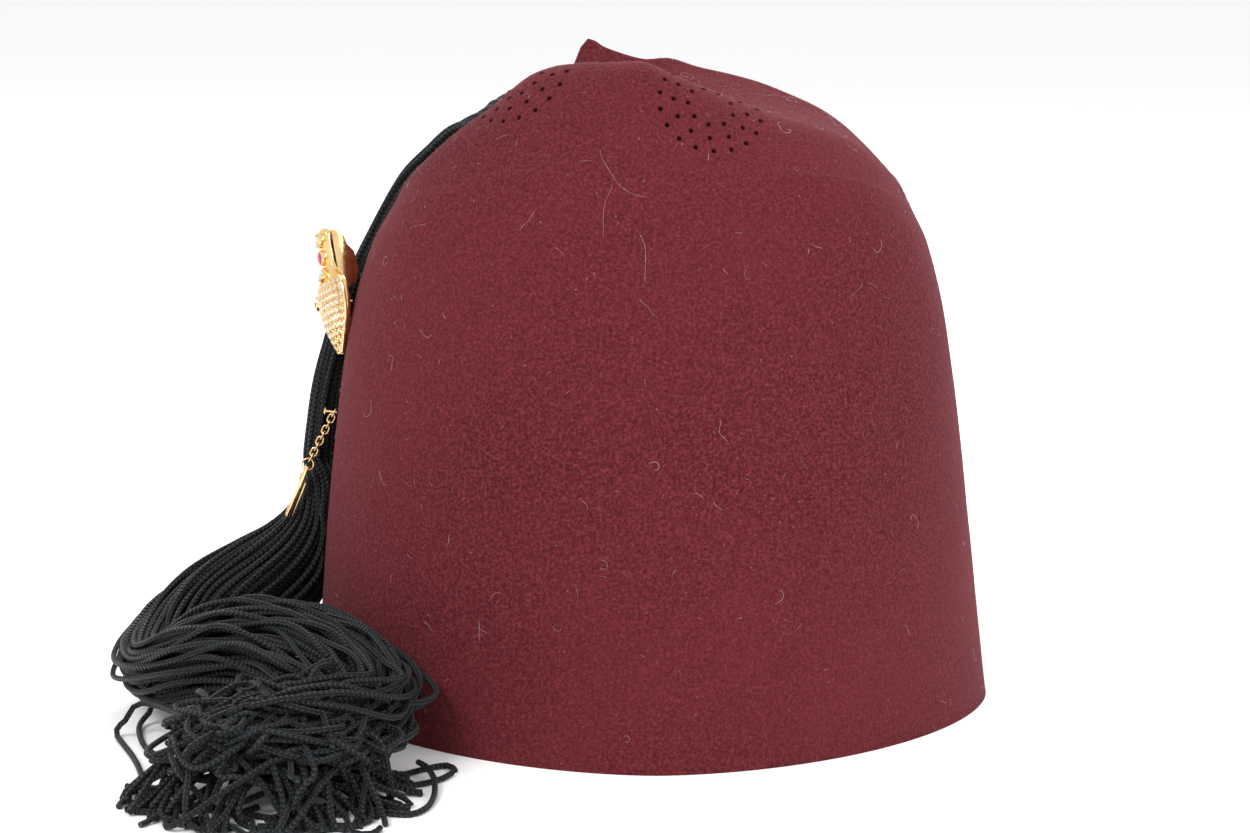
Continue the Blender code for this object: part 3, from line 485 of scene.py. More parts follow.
def crown_point(level, angle):
    """The felt's outer face: up to level 1 the wall, at 2 the ridges, at 3 the top's middle."""
    if level <= 1:
        x, y = oval(angle, HALF_WIDTH * value(WALL_ROWS, 1, level),
                    HALF_DEPTH * value(WALL_ROWS, 2, level), value(WALL_ROWS, 4, level))
        edge = WALL_ROWS[-1][1] * math.cos(angle)
        shoulder = value(TOP_ROWS, 4, edge) * CROWN_HEIGHT
        return Vector((x + HALF_WIDTH * value(WALL_ROWS, 3, level), y, level * shoulder))
    ridge_x, ridge_y = oval(angle, TOP_WIDTH / 2, TOP_DEPTH / 2, 2)
    if ridge_y < 0:
        ridge_y *= value(TOP_ROWS, 5, ridge_x / HALF_WIDTH)
    ridge_z = ridge_height(ridge_x, 0.5 + 0.5 * math.sin(angle))
    if level <= 2:
        start, t = crown_point(1, angle), level - 1
        rise = math.sin(t * math.pi / 2) ** 1.15
        return Vector((mix(start.x, ridge_x, t), mix(start.y, ridge_y, t),
                       mix(start.z, ridge_z, rise)))
    t = 3 - level
    x, y = ridge_x * t, ridge_y * t
    reach = TOP_DEPTH / 2 * math.sqrt(max(1e-6, 1 - (x / (TOP_WIDTH / 2)) ** 2))
    far = min(max(0.5 + 0.5 * y / reach, 0.0), 1.0)
    sunk = value(TOP_ROWS, 3, x / HALF_WIDTH) * CROWN_HEIGHT
    return Vector((x, y, ridge_height(x, far) - sunk * (1 - (2 * far - 1) ** 2)))


print("top of the near ridge:", round(crown_point(2, math.radians(250)).z / MM, 1), "mm")

# %% The felt as a grid rolled into the hat
COLUMNS, ROWS = 200, 150
ROW_SHARES, ROW_LEVELS = (0.0, 0.52, 0.76, 1.0), (0.0, 1.0, 2.0, 3.0)
WAVE_SIZE, WAVE_DEPTH = 0.022, 0.00030

nothing()
bpy.ops.mesh.primitive_grid_add(x_subdivisions=COLUMNS, y_subdivisions=ROWS, size=2)
crown = bpy.context.object
for vertex in crown.data.vertices:
    angle = (vertex.co.x + 1) * math.pi
    level = float(np.interp((vertex.co.y + 1) / 2, ROW_SHARES, ROW_LEVELS))
    vertex.co = crown_point(level, angle)
outward(crown, merge=2e-5)
if sum(p.normal.dot(p.center) * p.area for p in crown.data.polygons) < 0:
    crown.data.flip_normals()
outer = crown.data.copy()
print("felt:", len(crown.data.vertices), "points")

# %% Small waves that the felt keeps from being stored flat
waves = [v.co + v.normal * (noise.noise(v.co / WAVE_SIZE) * WAVE_DEPTH)
         for v in crown.data.vertices]
for vertex, place in zip(crown.data.vertices, waves):
    if vertex.co.z > 1e-5:
        vertex.co = place
print("waves:", round(WAVE_SIZE / MM), "mm wide, up to", round(WAVE_DEPTH / MM, 2), "mm deep")

# %% [markdown]
# ## Thickness and vents
# Solidify gives the felt its wall. The rim's cut edge is flattened onto the floor and slightly
# rounded, as a cut through soft felt is. The vents are punched holes, so they are cut with
# little rods, each set square to the felt, in two round groups.

# %% The wall and its rim
RIM_ROUNDING, RIM_EDGE_ANGLE, RIM_FLAT_BELOW = 0.0005, 62, 0.0009

wall = crown.modifiers.new("wall", "SOLIDIFY")
wall.thickness, wall.offset = FELT_THICKNESS, -1
apply_all(crown)
for vertex in crown.data.vertices:
    if vertex.co.z < RIM_FLAT_BELOW:
        vertex.co.z = 0.0
rounded(crown, RIM_ROUNDING, 2, RIM_EDGE_ANGLE)

felt_tree = BVHTree.FromPolygons([v.co for v in outer.vertices],
                                 [p.vertices[:] for p in outer.polygons])
print("felt with its wall:", len(crown.data.polygons), "faces")

# %% Vents
VENT_DIAMETER, VENT_SIDES = 0.0016, 14
VENT_RINGS = ((0.0068, 9), (0.0110, 12), (0.0150, 18))
VENT_GROUPS = ((0.155, -0.41), (-0.375, -0.205))

punches = []
for across_share, back_share in VENT_GROUPS:
    above = Vector((across_share * HALF_WIDTH, back_share * HALF_DEPTH, CROWN_HEIGHT * 1.5))
    middle, normal, _, _ = felt_tree.ray_cast(above, Vector((0, 0, -1)))
    side = normal.orthogonal().normalized()
    other = normal.cross(side)
    for radius, count in VENT_RINGS:
        for k in range(count):
            turn = 2 * math.pi * (k + 0.5) / count
            offset = side * (radius * math.cos(turn)) + other * (radius * math.sin(turn))
            outside = middle + offset + normal * (radius + 0.01)
            hit, facing, _, _ = felt_tree.ray_cast(outside, -normal)
            nothing()
            bpy.ops.mesh.primitive_cylinder_add(
                vertices=VENT_SIDES, radius=VENT_DIAMETER / 2, depth=FELT_THICKNESS * 3,
                location=hit, rotation=facing.to_track_quat("Z", "Y").to_euler())
            punches.append(bpy.context.object)
print("vents:", len(punches))
cut_with(crown, joined(punches, "vent_punches"))
moved(crown, Matrix.Translation(HAT))
finished(crown, "felt_body", FELT, "felt", "felt_crown", smooth=50)

# %% [markdown]
# ## Nap and lint
# Felt never ends in a clean line: single fibres stand up from it, and it gathers pale hairs and
# dust. Each nap fibre is one tiny curved spike, modelled as a three-sided sliver, and each hair
# of lint is a thin tube that wanders over the felt. The longest hairs lie where the picture
# shows them.

# %% Thin tubes along a path
TUBE_TURN = 2.4  # each tube starts turned by this much more than the last, in radians


def spread(paths, radii, sides, twist=0.0):
    """Points, faces and a map for round tubes, one along each path, with a radius at each point.

    Twist is how far a tube turns about itself, in radians for each metre.
    """
    points, faces, cloth_map = [], [], []
    for number, (path, radius) in enumerate(zip(paths, radii)):
        path = np.asarray(path, float)
        tangent = np.gradient(path, axis=0)
        tangent /= np.linalg.norm(tangent, axis=1)[:, None] + 1e-12
        along = np.concatenate(([0.0], np.cumsum(np.linalg.norm(np.diff(path, axis=0), axis=1))))
        start = np.cross(tangent[0], (0.31, 0.52, 0.79))
        side = start / (np.linalg.norm(start) + 1e-12)
        first = len(points)
        turn = np.arange(sides) * 2 * math.pi / sides
        for k, (here, forward) in enumerate(zip(path, tangent)):
            side = side - forward * side.dot(forward)
            side /= np.linalg.norm(side) + 1e-12
            other = np.cross(forward, side)
            size = radius if np.isscalar(radius) else radius[k]
            swung = turn + number * TUBE_TURN + twist * along[k]
            ring = here + size * (np.cos(swung)[:, None] * side + np.sin(swung)[:, None] * other)
            points.extend(ring)
        for k in range(len(path) - 1):
            base = first + k * sides
            for j in range(sides):
                n = (j + 1) % sides
                faces.append((base + j, base + n, base + sides + n, base + sides + j))
                u0, u1, v0, v1 = j / sides, (j + 1) / sides, along[k], along[k + 1]
                cloth_map.append(((u0, v0), (u1, v0), (u1, v1), (u0, v1)))
        last = first + (len(path) - 1) * sides
        faces.append(tuple(range(first + sides - 1, first - 1, -1)))
        faces.append(tuple(range(last, last + sides)))
        cloth_map.append(((0.5, along[0]),) * sides)
        cloth_map.append(((0.5, along[-1]),) * sides)
    return points, faces, cloth_map


def tubes(name, paths, radii, sides, mapped=False, twist=0.0):
    points, faces, cloth_map = spread(paths, radii, sides, twist)
    made = mesh_object(name, [tuple(p) for p in points], faces)
    if mapped:
        layer = made.data.uv_layers.new(name="UVMap")
        layer.data.foreach_set("uv", np.array([c for f in cloth_map for p in f for c in p], "f"))
    return made


# %% Nap
NAP_FIBRES = 9000
FIBRE_LENGTHS, FIBRE_WIDTHS = (0.4, 1.3), (0.022, 0.036)  # in millimetres
dice = random.Random(7)


def felt_spot():
    """A random place on the felt's outer face, about as likely everywhere, with its normal."""
    while True:
        level = dice.uniform(0.01, 2.9)
        angle = dice.uniform(0, 2 * math.pi)
        share = 1.0 if level <= 1 else 0.42 * (1 - 0.3 * max(level - 2, 0))
        if dice.random() < share:
            hit, normal, _, _ = felt_tree.find_nearest(crown_point(level, angle))
            return hit, normal


fibre_points, fibre_faces = [], []
for _ in range(NAP_FIBRES):
    hit, normal = felt_spot()
    lean = Vector([dice.gauss(0, 0.6) for _ in range(3)])
    long = dice.uniform(*FIBRE_LENGTHS) * MM
    wide = dice.uniform(*FIBRE_WIDTHS) * MM
    way = (normal + lean).normalized()
    bend = hit + way * long * 0.6
    tip = bend + (way + Vector([dice.gauss(0, 0.7) for _ in range(3)])).normalized() * long * 0.5
    side = way.orthogonal().normalized() * wide
    other = way.cross(side)
    start = len(fibre_points)
    for at, size in ((hit - normal * 0.1 * MM, 1.0), (bend, 0.8)):
        for k in range(3):
            turn = 2 * math.pi * k / 3
            fibre_points.append(at + (side * math.cos(turn) + other * math.sin(turn)) * size + HAT)
    fibre_points.append(tip + HAT)
    fibre_faces.append((start + 2, start + 1, start))
    for k in range(3):
        n = (k + 1) % 3
        fibre_faces.append((start + k, start + n, start + 3 + n, start + 3 + k))
        fibre_faces.append((start + 3 + k, start + 3 + n, start + 6))
nap = mesh_object("felt_nap", fibre_points, fibre_faces)
finished(nap, "felt_nap", FELT, "felt", smooth=0)

# %% Lint
PLACED_HAIRS = (  # picture place, direction in degrees, length in mm, curl
    (600, 150, -75, 22, 0.25), (612, 185, -80, 16, 0.4), (640, 235, -60, 14, 0.4),
    (690, 80, 10, 12, 1.6), (800, 100, -40, 14, 1.8), (822, 112, 20, 10, 2.2),
    (845, 118, -70, 12, 1.2), (757, 95, 40, 8, 1.5), (790, 130, -80, 9, 1.2),
    (395, 200, -60, 8, 1.8), (410, 230, 30, 8, 2.0), (388, 262, -80, 7, 1.8),
    (402, 300, 60, 7, 1.5), (420, 330, -20, 6, 1.8), (372, 400, -90, 9, 1.0),
    (392, 370, 50, 6, 2.0), (380, 470, -70, 6, 1.6), (640, 300, -50, 7, 1.5),
    (520, 230, 30, 7, 1.5), (720, 420, -80, 7, 1.2), (655, 470, -20, 6, 1.8),
    (850, 300, 80, 8, 1.2), (880, 240, -60, 7, 1.6), (600, 560, 10, 6, 1.6),
    (480, 640, 60, 6, 1.4), (780, 590, -30, 6, 1.8), (910, 520, 85, 8, 1.2),
)
SMALL_HAIRS = 520
HAIR_LENGTHS = (0.9, 1.3, 1.8, 2.6, 4.5)


def wander(hit, normal, way, length, curl, step=0.35 * MM):
    """A hair's path over the felt, from a place and a direction, with a curl that changes."""
    path, swing, bias = [], dice.uniform(-1, 1) * curl, dice.uniform(-0.5, 0.5) * curl
    here = hit
    way = (way - normal * way.dot(normal)).normalized()
    for k in range(max(4, int(length / step))):
        lift = 0.12 * MM + 0.25 * MM * (0.5 + 0.5 * math.sin(k * 0.5 + swing))
        path.append(here + normal * lift + HAT)
        swing = swing * 0.86 + dice.gauss(0, 0.5) * curl * 0.45
        way = (Matrix.Rotation(0.22 * (swing + bias), 3, normal) @ way)
        here, normal, _, _ = felt_tree.find_nearest(here + way * step)
        way = (way - normal * way.dot(normal)).normalized()
    return path


hairs = []
for px, py, degrees, length, curl in PLACED_HAIRS:
    hit, normal, _, _ = felt_tree.ray_cast(CAMERA_PLACE - HAT, sight(px, py))
    if hit:
        way = Vector((math.cos(math.radians(degrees)), 0, math.sin(math.radians(degrees))))
        hairs.append(wander(hit, normal, way, length * MM, curl))
for _ in range(SMALL_HAIRS):
    hit, normal = felt_spot()
    way = Vector([dice.gauss(0, 1) for _ in range(3)])
    length, curl = dice.choice(HAIR_LENGTHS) * MM, dice.uniform(0.6, 2.0)
    hairs.append(wander(hit, normal, way, length, curl))
radii = [0.030 * MM if k < len(PLACED_HAIRS) else dice.uniform(0.018, 0.028) * MM
         for k in range(len(hairs))]
finished(tubes("felt_lint", hairs, radii, 3), "felt_lint", LINT, "felt", smooth=80)

# %% [markdown]
# ## The tassel's route
# The tassel starts at the button in the pit, goes over the far side of the near ridge, down the
# hat's left wall, and then lies on the floor in a loose pile: away to the left, back to the
# right in front of that, and back to the left again, where the cords splay out. The route is
# a list of sections, each with its middle, its side, its up and its two sizes.

# %% Route over the hat
TASSEL_WIDTH, TASSEL_THICKNESS, TASSEL_CLEAR = 0.032, 0.0085, 0.0015
CROWN_ROUTE = (  # step, level, angle, width, thickness
    (0, 2.80, 112, .32, .66), (1, 2.60, 120, .46, .64), (2, 2.32, 125, .58, .66),
    (3, 2.02, 127, .66, .66), (4, 1.75, 128.5, .78, .60), (5, 1.50, 132, .88, .56),
    (6, 1.25, 137.5, .90, .56), (7, 1.00, 143, .92, .58), (8, .88, 149, .90, .64),
    (9, .79, 156, .84, .72), (10, .70, 161, .80, 1.04), (11, .58, 164, .90, 1.20),
    (12, .43, 165, 1.00, 1.15),
)
CROWN_SECTIONS = 31

route = []
for n in range(CROWN_SECTIONS):
    step = CROWN_ROUTE[-1][0] * n / (CROWN_SECTIONS - 1)
    level, angle, width, thickness = (value(CROWN_ROUTE, k, step) for k in (1, 2, 3, 4))
    here = crown_point(level, math.radians(angle))
    hit, normal, _, _ = felt_tree.find_nearest(here)
    thickness *= TASSEL_THICKNESS
    middle = hit + normal * (thickness / 2 + TASSEL_CLEAR)
    route.append([middle, None, normal, width * TASSEL_WIDTH, thickness])

# %% Route through the pile
PILE_ROUTE = (  # x, y, z, width and thickness, in millimetres
    (-101, 14, 58, 34, 14), (-103, 11, 49, 35, 22), (-109, 7, 40, 36, 29), (-120, 3, 33, 37, 32),
    (-133, -2, 27, 37, 29), (-143, -11, 21, 33, 23), (-147, -25, 16, 28, 19),
    (-142, -35, 18, 30, 20), (-131, -41, 23, 38, 24), (-117, -46, 27, 42, 27),
    (-102, -54, 27, 42, 27), (-88, -67, 24, 37, 26), (-79, -81, 20, 30, 24),
    (-80, -93, 19, 28, 22), (-90, -100, 22, 38, 25), (-104, -102, 22, 46, 26),
    (-118, -97, 18, 44, 24), (-129, -86, 13, 40, 20),
)
for x, y, z, width, thickness in PILE_ROUTE:
    route.append([Vector((x, y, z)) * MM, None, None, width * MM, thickness * MM])
for n, section in enumerate(route):
    back, ahead = route[max(n - 1, 0)][0], route[min(n + 1, len(route) - 1)][0]
    forward = (ahead - back).normalized()
    if n < CROWN_SECTIONS:
        section[1] = section[2].cross(forward).normalized()
    else:
        flat = Vector((0, 0, 1)).cross(forward).normalized()
        eased = min((n - CROWN_SECTIONS + 1) / 4, 1.0)
        section[1] = route[CROWN_SECTIONS - 1][1].lerp(flat, eased).normalized()
    section[2] = forward.cross(section[1]).normalized()
    section[1] = section[2].cross(forward).normalized()
length = sum((a[0] - b[0]).length for a, b in zip(route, route[1:]))
print("route:", len(route), "sections,", round(length / MM), "mm")

# %% [markdown]
# ## Laying the cords
# Eighty-eight cords share the route. Each keeps its own place across the bundle on the hat, and
# drifts more and more from it in the pile. Near its end each cord takes a few loose turns round
# the front of the pile and drops to the floor in a fan. A few ends lie loose on the floor where
# the picture shows them. Blender's noise vectors start from the clock unless they are given a
# seed, so they get one here, and the cords lie the same way in every run.

# %% First lay
CORDS = 88
CORD_RADIUS = 0.00085
CORD_STEP = 0.0026
LOOSE_ENDS = (  # picture places along a loose end, and its height over the floor in mm
    ((150, 700, 12), (126, 716, 7), (116, 727, 3), (124, 745, 1), (136, 761, 1), (146, 784, 1),
     (166, 801, 1), (190, 805, 1), (214, 806, 1)),
    ((232, 800, 4), (226, 816, 1), (204, 824, 1), (178, 820, 1), (162, 806, 1), (137, 799, 1)),
    ((165, 700, 9), (150, 712, 4), (139, 727, 1), (143, 744, 1), (154, 754, 1), (166, 757, 1)),
    ((345, 775, 6), (358, 797, 2), (383, 812, 1), (413, 814, 1), (431, 803, 1), (435, 783, 2),
     (428, 768, 3), (418, 762, 3)),
    ((350, 765, 8), (372, 778, 3), (398, 776, 1), (421, 770, 1), (447, 765, 1), (455, 770, 1)),
    ((360, 775, 6), (388, 786, 2), (414, 785, 1), (439, 780, 1), (452, 773, 1)),
    ((205, 810, 5), (222, 822, 2), (243, 833, 1), (256, 842, 1)),
    ((330, 800, 6), (345, 816, 2), (352, 832, 1), (372, 834, 1), (380, 828, 1)),
    ((300, 810, 6), (312, 826, 2), (322, 838, 1)),
    ((240, 806, 6), (252, 820, 2), (254, 836, 1), (268, 845, 1)),
)
FAN_MIDDLE = Vector((-104, -106, 0)) * MM
FAN_REACH = (37 * MM, 34 * MM)
BALL_MIDDLE, BALL_SIZE = Vector((-103, -104, 8)) * MM, Vector((37, 31, 24)) * MM
BALL_LOOPS = 3
BUNDLE_SHARE, FULLER_INSIDE = 0.48, -0.4
DRIFT_PACE, DRIFT_SIZE, DRIFT_SEED = 0.55, 15 * MM, 3
FAN_ANGLES, FAN_SHARES, FAN_LIMITS = (165, 395), (0.55, 1.08), (0.85, 1.12)

noise.seed_set(DRIFT_SEED)


def catmull(points, step):
    """Points an even step apart on a smooth curve through the given ones."""
    p = np.asarray([tuple(q) for q in points], float)
    p = np.vstack((2 * p[0] - p[1], p, 2 * p[-1] - p[-2]))
    t = np.linspace(0, 1, 12, endpoint=False)[:, None]
    dense = []
    for a, b, c, d in zip(p, p[1:], p[2:], p[3:]):
        dense.append(0.5 * (2 * b + (c - a) * t + (2 * a - 5 * b + 4 * c - d) * t * t
                            + (3 * b - a - 3 * c + d) * t ** 3))
    dense = np.vstack(dense + [p[-2]])
    along = np.concatenate(([0.0], np.cumsum(np.linalg.norm(np.diff(dense, axis=0), axis=1))))
    at = np.linspace(0, along[-1], max(3, int(round(along[-1] / step)) + 1))
    return np.stack([np.interp(at, along, dense[:, k]) for k in range(3)], axis=1)


def drift(seed, at, size):
    """A smooth random offset along a cord."""
    spot = Vector((seed * 7.31, at, 0.0))
    return noise.noise_vector(spot) * size


def on_ball(azimuth, height):
    """A place near the outside of the tangled front of the pile, from two angles in degrees."""
    a, h = math.radians(azimuth), math.radians(height)
    shell = Vector((math.cos(a) * math.cos(h), math.sin(a) * math.cos(h), math.sin(h)))
    size = dice.uniform(0.72, 1.0)
    return BALL_MIDDLE + Vector(s * r for s, r in zip(shell, BALL_SIZE)) * size


def first_lay(k):
    """A cord's points before it is settled."""
    share = math.sqrt((k + 0.5) / CORDS)
    turn = k * math.pi * (3 - math.sqrt(5))
    u, v = share * math.cos(turn), share * math.sin(turn)
    points = []
    last = len(route) - dice.choice((1, 1, 2, 2, 3, 3, 4, 5))
    for n, (middle, side, up, width, thickness) in enumerate(route[:last]):
        loose = max(0, n - CROWN_SECTIONS - 2) / (len(route) - CROWN_SECTIONS)
        fuller = 1.0 if n < CROWN_SECTIONS else share ** FULLER_INSIDE
        point = (middle + side * (u * width * BUNDLE_SHARE * fuller)
                 + up * (v * thickness * BUNDLE_SHARE * fuller))
        if loose:
            point += drift(k, n * DRIFT_PACE, DRIFT_SIZE * loose)
            point.z = max(point.z, 2 * MM)
        points.append(point)
    if k < len(LOOSE_ENDS):
        points += [floor_at(px, py, h * MM) - HAT for px, py, h in LOOSE_ENDS[k]]
        return points
    turn = math.radians(dice.uniform(*FAN_ANGLES))
    reach = dice.uniform(*FAN_SHARES)
    spoke = Vector((FAN_REACH[0] * math.cos(turn), FAN_REACH[1] * math.sin(turn), 0))
    foot = FAN_MIDDLE + spoke * reach
    for _ in range(BALL_LOOPS):
        points.append(on_ball(dice.uniform(0, 360), dice.uniform(15, 80)))
    before = points[-1]
    lift = Vector((0, 0, dice.uniform(1, 7) * MM))
    over = before.lerp(foot, 0.5) + lift + drift(k, 40.0, 5 * MM)
    beyond = (foot - before)
    beyond.z = 0
    curl = Matrix.Rotation(dice.uniform(-1.7, 1.7), 3, "Z") @ beyond.normalized()
    points += [over, foot + Vector((0, 0, 3 * MM)), foot + curl * dice.uniform(5, 13) * MM]
    for point in points[-2:]:
        away = point - FAN_MIDDLE
        far = math.hypot(away.x / FAN_REACH[0], away.y / FAN_REACH[1])
        limit = dice.uniform(*FAN_LIMITS)
        if far > limit:
            point.xy = (FAN_MIDDLE + away * (limit / far)).xy
    points[-1].z = 1 * MM
    return points


laid = [catmull(first_lay(k), CORD_STEP) for k in range(CORDS)]
print("cords:", len(laid), "of", round(min(map(len, laid)) * CORD_STEP / MM), "to",
      round(max(map(len, laid)) * CORD_STEP / MM), "mm, points:", sum(map(len, laid)))

# %% [markdown]
# ## Settling the cords
# Real cords can't pass through each other, the hat, the brooch or the floor, can't stretch, and
# sink under their own weight. A small simulation gives each point these rules in turn, many
# times over: keep the step to your neighbours, push away from any cord that is nearer than a
# cord's thickness, stay outside the felt and the gold, and stay above the floor.

# %% Settle
SETTLE_ROUNDS = 70
SINK = 0.00004
HEAD_TAPER = (0.045, 0.55)
FREED_OVER = 0.05
HOLD_ON_HAT, HOLD_IN_PILE, HOLD_LOOSE, LOOSE_POINTS = 0.06, 0.03, 0.25, 18

counts = [len(path) for path in laid]
owner = np.repeat(np.arange(CORDS), counts)
order = np.concatenate([np.arange(n) for n in counts])
settled_at = np.concatenate(laid)
wanted = settled_at.copy()
starts = np.cumsum([0] + counts)
inner = np.array([0 < i < counts[o] - 1 for o, i in zip(owner, order)])
along_cord = order * CORD_STEP
thick = CORD_RADIUS * np.interp(along_cord, (0, HEAD_TAPER[0]), (HEAD_TAPER[1], 1.0))
on_hat = route[:CROWN_SECTIONS]
crown_length = sum((a[0] - b[0]).length for a, b in zip(on_hat, on_hat[1:]))
free = np.clip((along_cord - crown_length) / FREED_OVER, 0, 1)
hold = HOLD_ON_HAT * (1 - free) + HOLD_IN_PILE * free
tails = np.zeros(len(owner), bool)
for k in range(len(LOOSE_ENDS)):
    tails[(owner == k) & (order > counts[k] - LOOSE_POINTS)] = True
hold[tails] = HOLD_LOOSE
links = np.array([i for i in range(len(owner) - 1) if owner[i] == owner[i + 1]])


def pairs_near(points, reach):
    """Pairs of points nearer than the reach, found by sorting them into boxes."""
    cell = np.floor(points / reach).astype(np.int64) + 4096
    key = (cell[:, 0] << 40) + (cell[:, 1] << 20) + cell[:, 2]
    ranked = np.argsort(key, kind="stable")
    sorted_key = key[ranked]
    firsts, seconds = [], []
    for dx in (-1, 0, 1):
        for dy in (-1, 0, 1):
            for dz in (-1, 0, 1):
                other = key + (dx << 40) + (dy << 20) + dz
                lo = np.searchsorted(sorted_key, other, "left")
                hi = np.searchsorted(sorted_key, other, "right")
                for extra in range(int((hi - lo).max())):
                    has = np.nonzero(lo + extra < hi)[0]
                    mate = ranked[lo[has] + extra]
                    keep = has < mate
                    firsts.append(has[keep])
                    seconds.append(mate[keep])
    a, b = np.concatenate(firsts), np.concatenate(seconds)
    keep = (owner[a] != owner[b]) | (np.abs(order[a] - order[b]) > 3)
    a, b = a[keep], b[keep]
    close = np.linalg.norm(points[a] - points[b], axis=1) < reach
    return a[close], b[close]


# %% What the cords lie against
BROOCH_SHIFT = Vector((2.6, 0, 0)) * MM
guard_points, guard_faces = [], []
GUARDS = [name for name in SOLIDS if name != "brooch_post"
          and name.startswith(("brooch", "drop", "chain", "jump", "clear", "red"))]
for name in GUARDS:
    mesh = SOLIDS[name].data
    start = len(guard_points)
    shift = BROOCH_SHIFT if name.startswith(("brooch", "clear", "red")) else Vector()
    guard_points += [v.co - HAT + shift for v in mesh.vertices]
    guard_faces += [[start + i for i in p.vertices] for p in mesh.polygons]
guard_tree = BVHTree.FromPolygons(guard_points, guard_faces)
guard_low = np.array(guard_points).min(axis=0) - 4 * MM
guard_high = np.array(guard_points).max(axis=0) + 4 * MM
print("kept clear of:", len(GUARDS), "solids,", len(guard_faces), "faces")


def push_off(points, indices, tree, clear):
    """Moves points that are inside a shape, or too near it, out along its surface's normal."""
    for i in indices:
        place = Vector(points[i])
        hit, normal, _, distance = tree.find_nearest(place)
        gap = thick[i] + clear
        inside = (place - hit).dot(normal) < 0
        if inside and distance < 0.03:
            points[i] = hit + normal * gap
        elif distance < gap:
            points[i] = hit + (place - hit).normalized() * gap


# %% The rounds
PAIR_REACH, SPACING, PUSH, SMOOTHING = 3.1, 1.02, 0.42, 0.10
CLEAR_OF_GOLD, CLEAR_OF_FELT, CLEAR_OF_FLOOR = 0.2 * MM, 0.25 * MM, 0.1 * MM


def settle(points, rounds, sink):
    a = b = None
    for turn in range(rounds):
        points[:, 2] -= sink * free * ~tails
        points += (wanted - points) * hold[:, None]
        if turn % 3 == 0:
            a, b = pairs_near(points, PAIR_REACH * CORD_RADIUS)
        for _ in range(2):
            apart = points[a] - points[b]
            distance = np.linalg.norm(apart, axis=1) + 1e-9
            overlap = np.clip((thick[a] + thick[b]) * SPACING - distance, 0, None)
            shove = apart / distance[:, None] * (overlap * PUSH)[:, None]
            for axis in range(3):
                points[:, axis] += np.bincount(a, shove[:, axis], len(points))
                points[:, axis] -= np.bincount(b, shove[:, axis], len(points))
        smooth = points.copy()
        smooth[1:-1] = (points[:-2] + points[2:]) / 2
        points[inner] += (smooth[inner] - points[inner]) * SMOOTHING
        for start in (0, 1):
            some = links[links % 2 == start]
            apart = points[some + 1] - points[some]
            distance = np.linalg.norm(apart, axis=1) + 1e-9
            fix = apart * (0.5 * (distance - CORD_STEP) / distance)[:, None]
            points[some] += fix
            points[some + 1] -= fix
        if turn % 4 == 3 or turn == rounds - 1:
            in_guard = ((points > guard_low) & (points < guard_high)).all(axis=1)
            push_off(points, np.nonzero(in_guard)[0], guard_tree, CLEAR_OF_GOLD)
            push_off(points, range(len(points)), felt_tree, CLEAR_OF_FELT)
        points[:, 2] = np.maximum(points[:, 2], thick + CLEAR_OF_FLOOR)
    apart = np.linalg.norm(points[a] - points[b], axis=1)
    deepest = float((thick[a] + thick[b] - apart).max())
    print("settled, deepest overlap", round(deepest / MM, 2), "mm")
    return points


settled_at = settle(settled_at, SETTLE_ROUNDS, SINK)

# %% Cords as tubes
CORD_SIDES, CORD_TWIST = 7, 38.0

paths = [settled_at[starts[k]:starts[k + 1]] + np.array(HAT) for k in range(CORDS)]
sizes = [thick[starts[k]:starts[k + 1]] for k in range(CORDS)]
half = CORDS // 2
for number, some in ((1, slice(0, half)), (2, slice(half, CORDS))):
    name = "tassel_cords_%d" % number
    finished(tubes(name, paths[some], sizes[some], CORD_SIDES, True, CORD_TWIST), name, CORD,
             "black_cord", "tassel", smooth=80)

# %% [markdown]
# ## The brooch's frame and face
# The brooch is a cast shield whose face swells towards the middle, with a straight stem on top.
# Its outline is a table of half widths down its height. The face is a grid that is narrowed to
# the outline and raised to the swell; extruding it and flattening the copy gives the solid its
# flat back, just as wax would be pressed on a plate.

# %% Brooch frame
BROOCH_HEIGHT, BROOCH_WIDTH = 0.038, 0.026
BROOCH_METAL, BROOCH_BULGE = 0.0012, 0.0030
BROOCH_PLACE, BROOCH_TURN, BROOCH_LEAN, BROOCH_ROLL = (-0.958, 0.025, 0.638), 24, 3, 18
SEAT_GAP = 0.0003
OUTLINE = ((0.00, 0.22), (0.04, 0.30), (0.20, 0.32), (0.34, 0.42), (0.44, 0.86), (0.55, 1.00),
           (0.68, 0.94), (0.82, 0.66), (0.94, 0.30), (1.00, 0.08))


def in_hat(across, back, high):
    return Vector((across * HALF_WIDTH, back * HALF_DEPTH, high * CROWN_HEIGHT)) + HAT


def turned(degrees, axis):
    return Matrix.Rotation(math.radians(degrees), 4, axis)


def face_height(down, out):
    swell = value(OUTLINE, 1, down)
    across = min(abs(out) / max(swell, 0.05), 1.0)
    return BROOCH_METAL + BROOCH_BULGE * swell * (1 - across * across)


BROOCH = (Matrix.Translation(in_hat(*BROOCH_PLACE) + BROOCH_SHIFT) @ turned(BROOCH_TURN - 90, "Z")
          @ turned(90 + BROOCH_LEAN, "X") @ turned(BROOCH_ROLL, "Z"))


def on_brooch(down, out, lift=0.0):
    """A place on the brooch's face and its frame there, with Z straight out of the face."""
    def at(d, o):
        return Vector((o * BROOCH_WIDTH / 2, BROOCH_HEIGHT * (0.5 - d), face_height(d, o)))
    across = at(down, out + 0.02) - at(down, out - 0.02)
    upward = at(down - 0.02, out) - at(down + 0.02, out)
    normal = across.cross(upward).normalized()
    return standing(at(down, out) + normal * lift, normal)


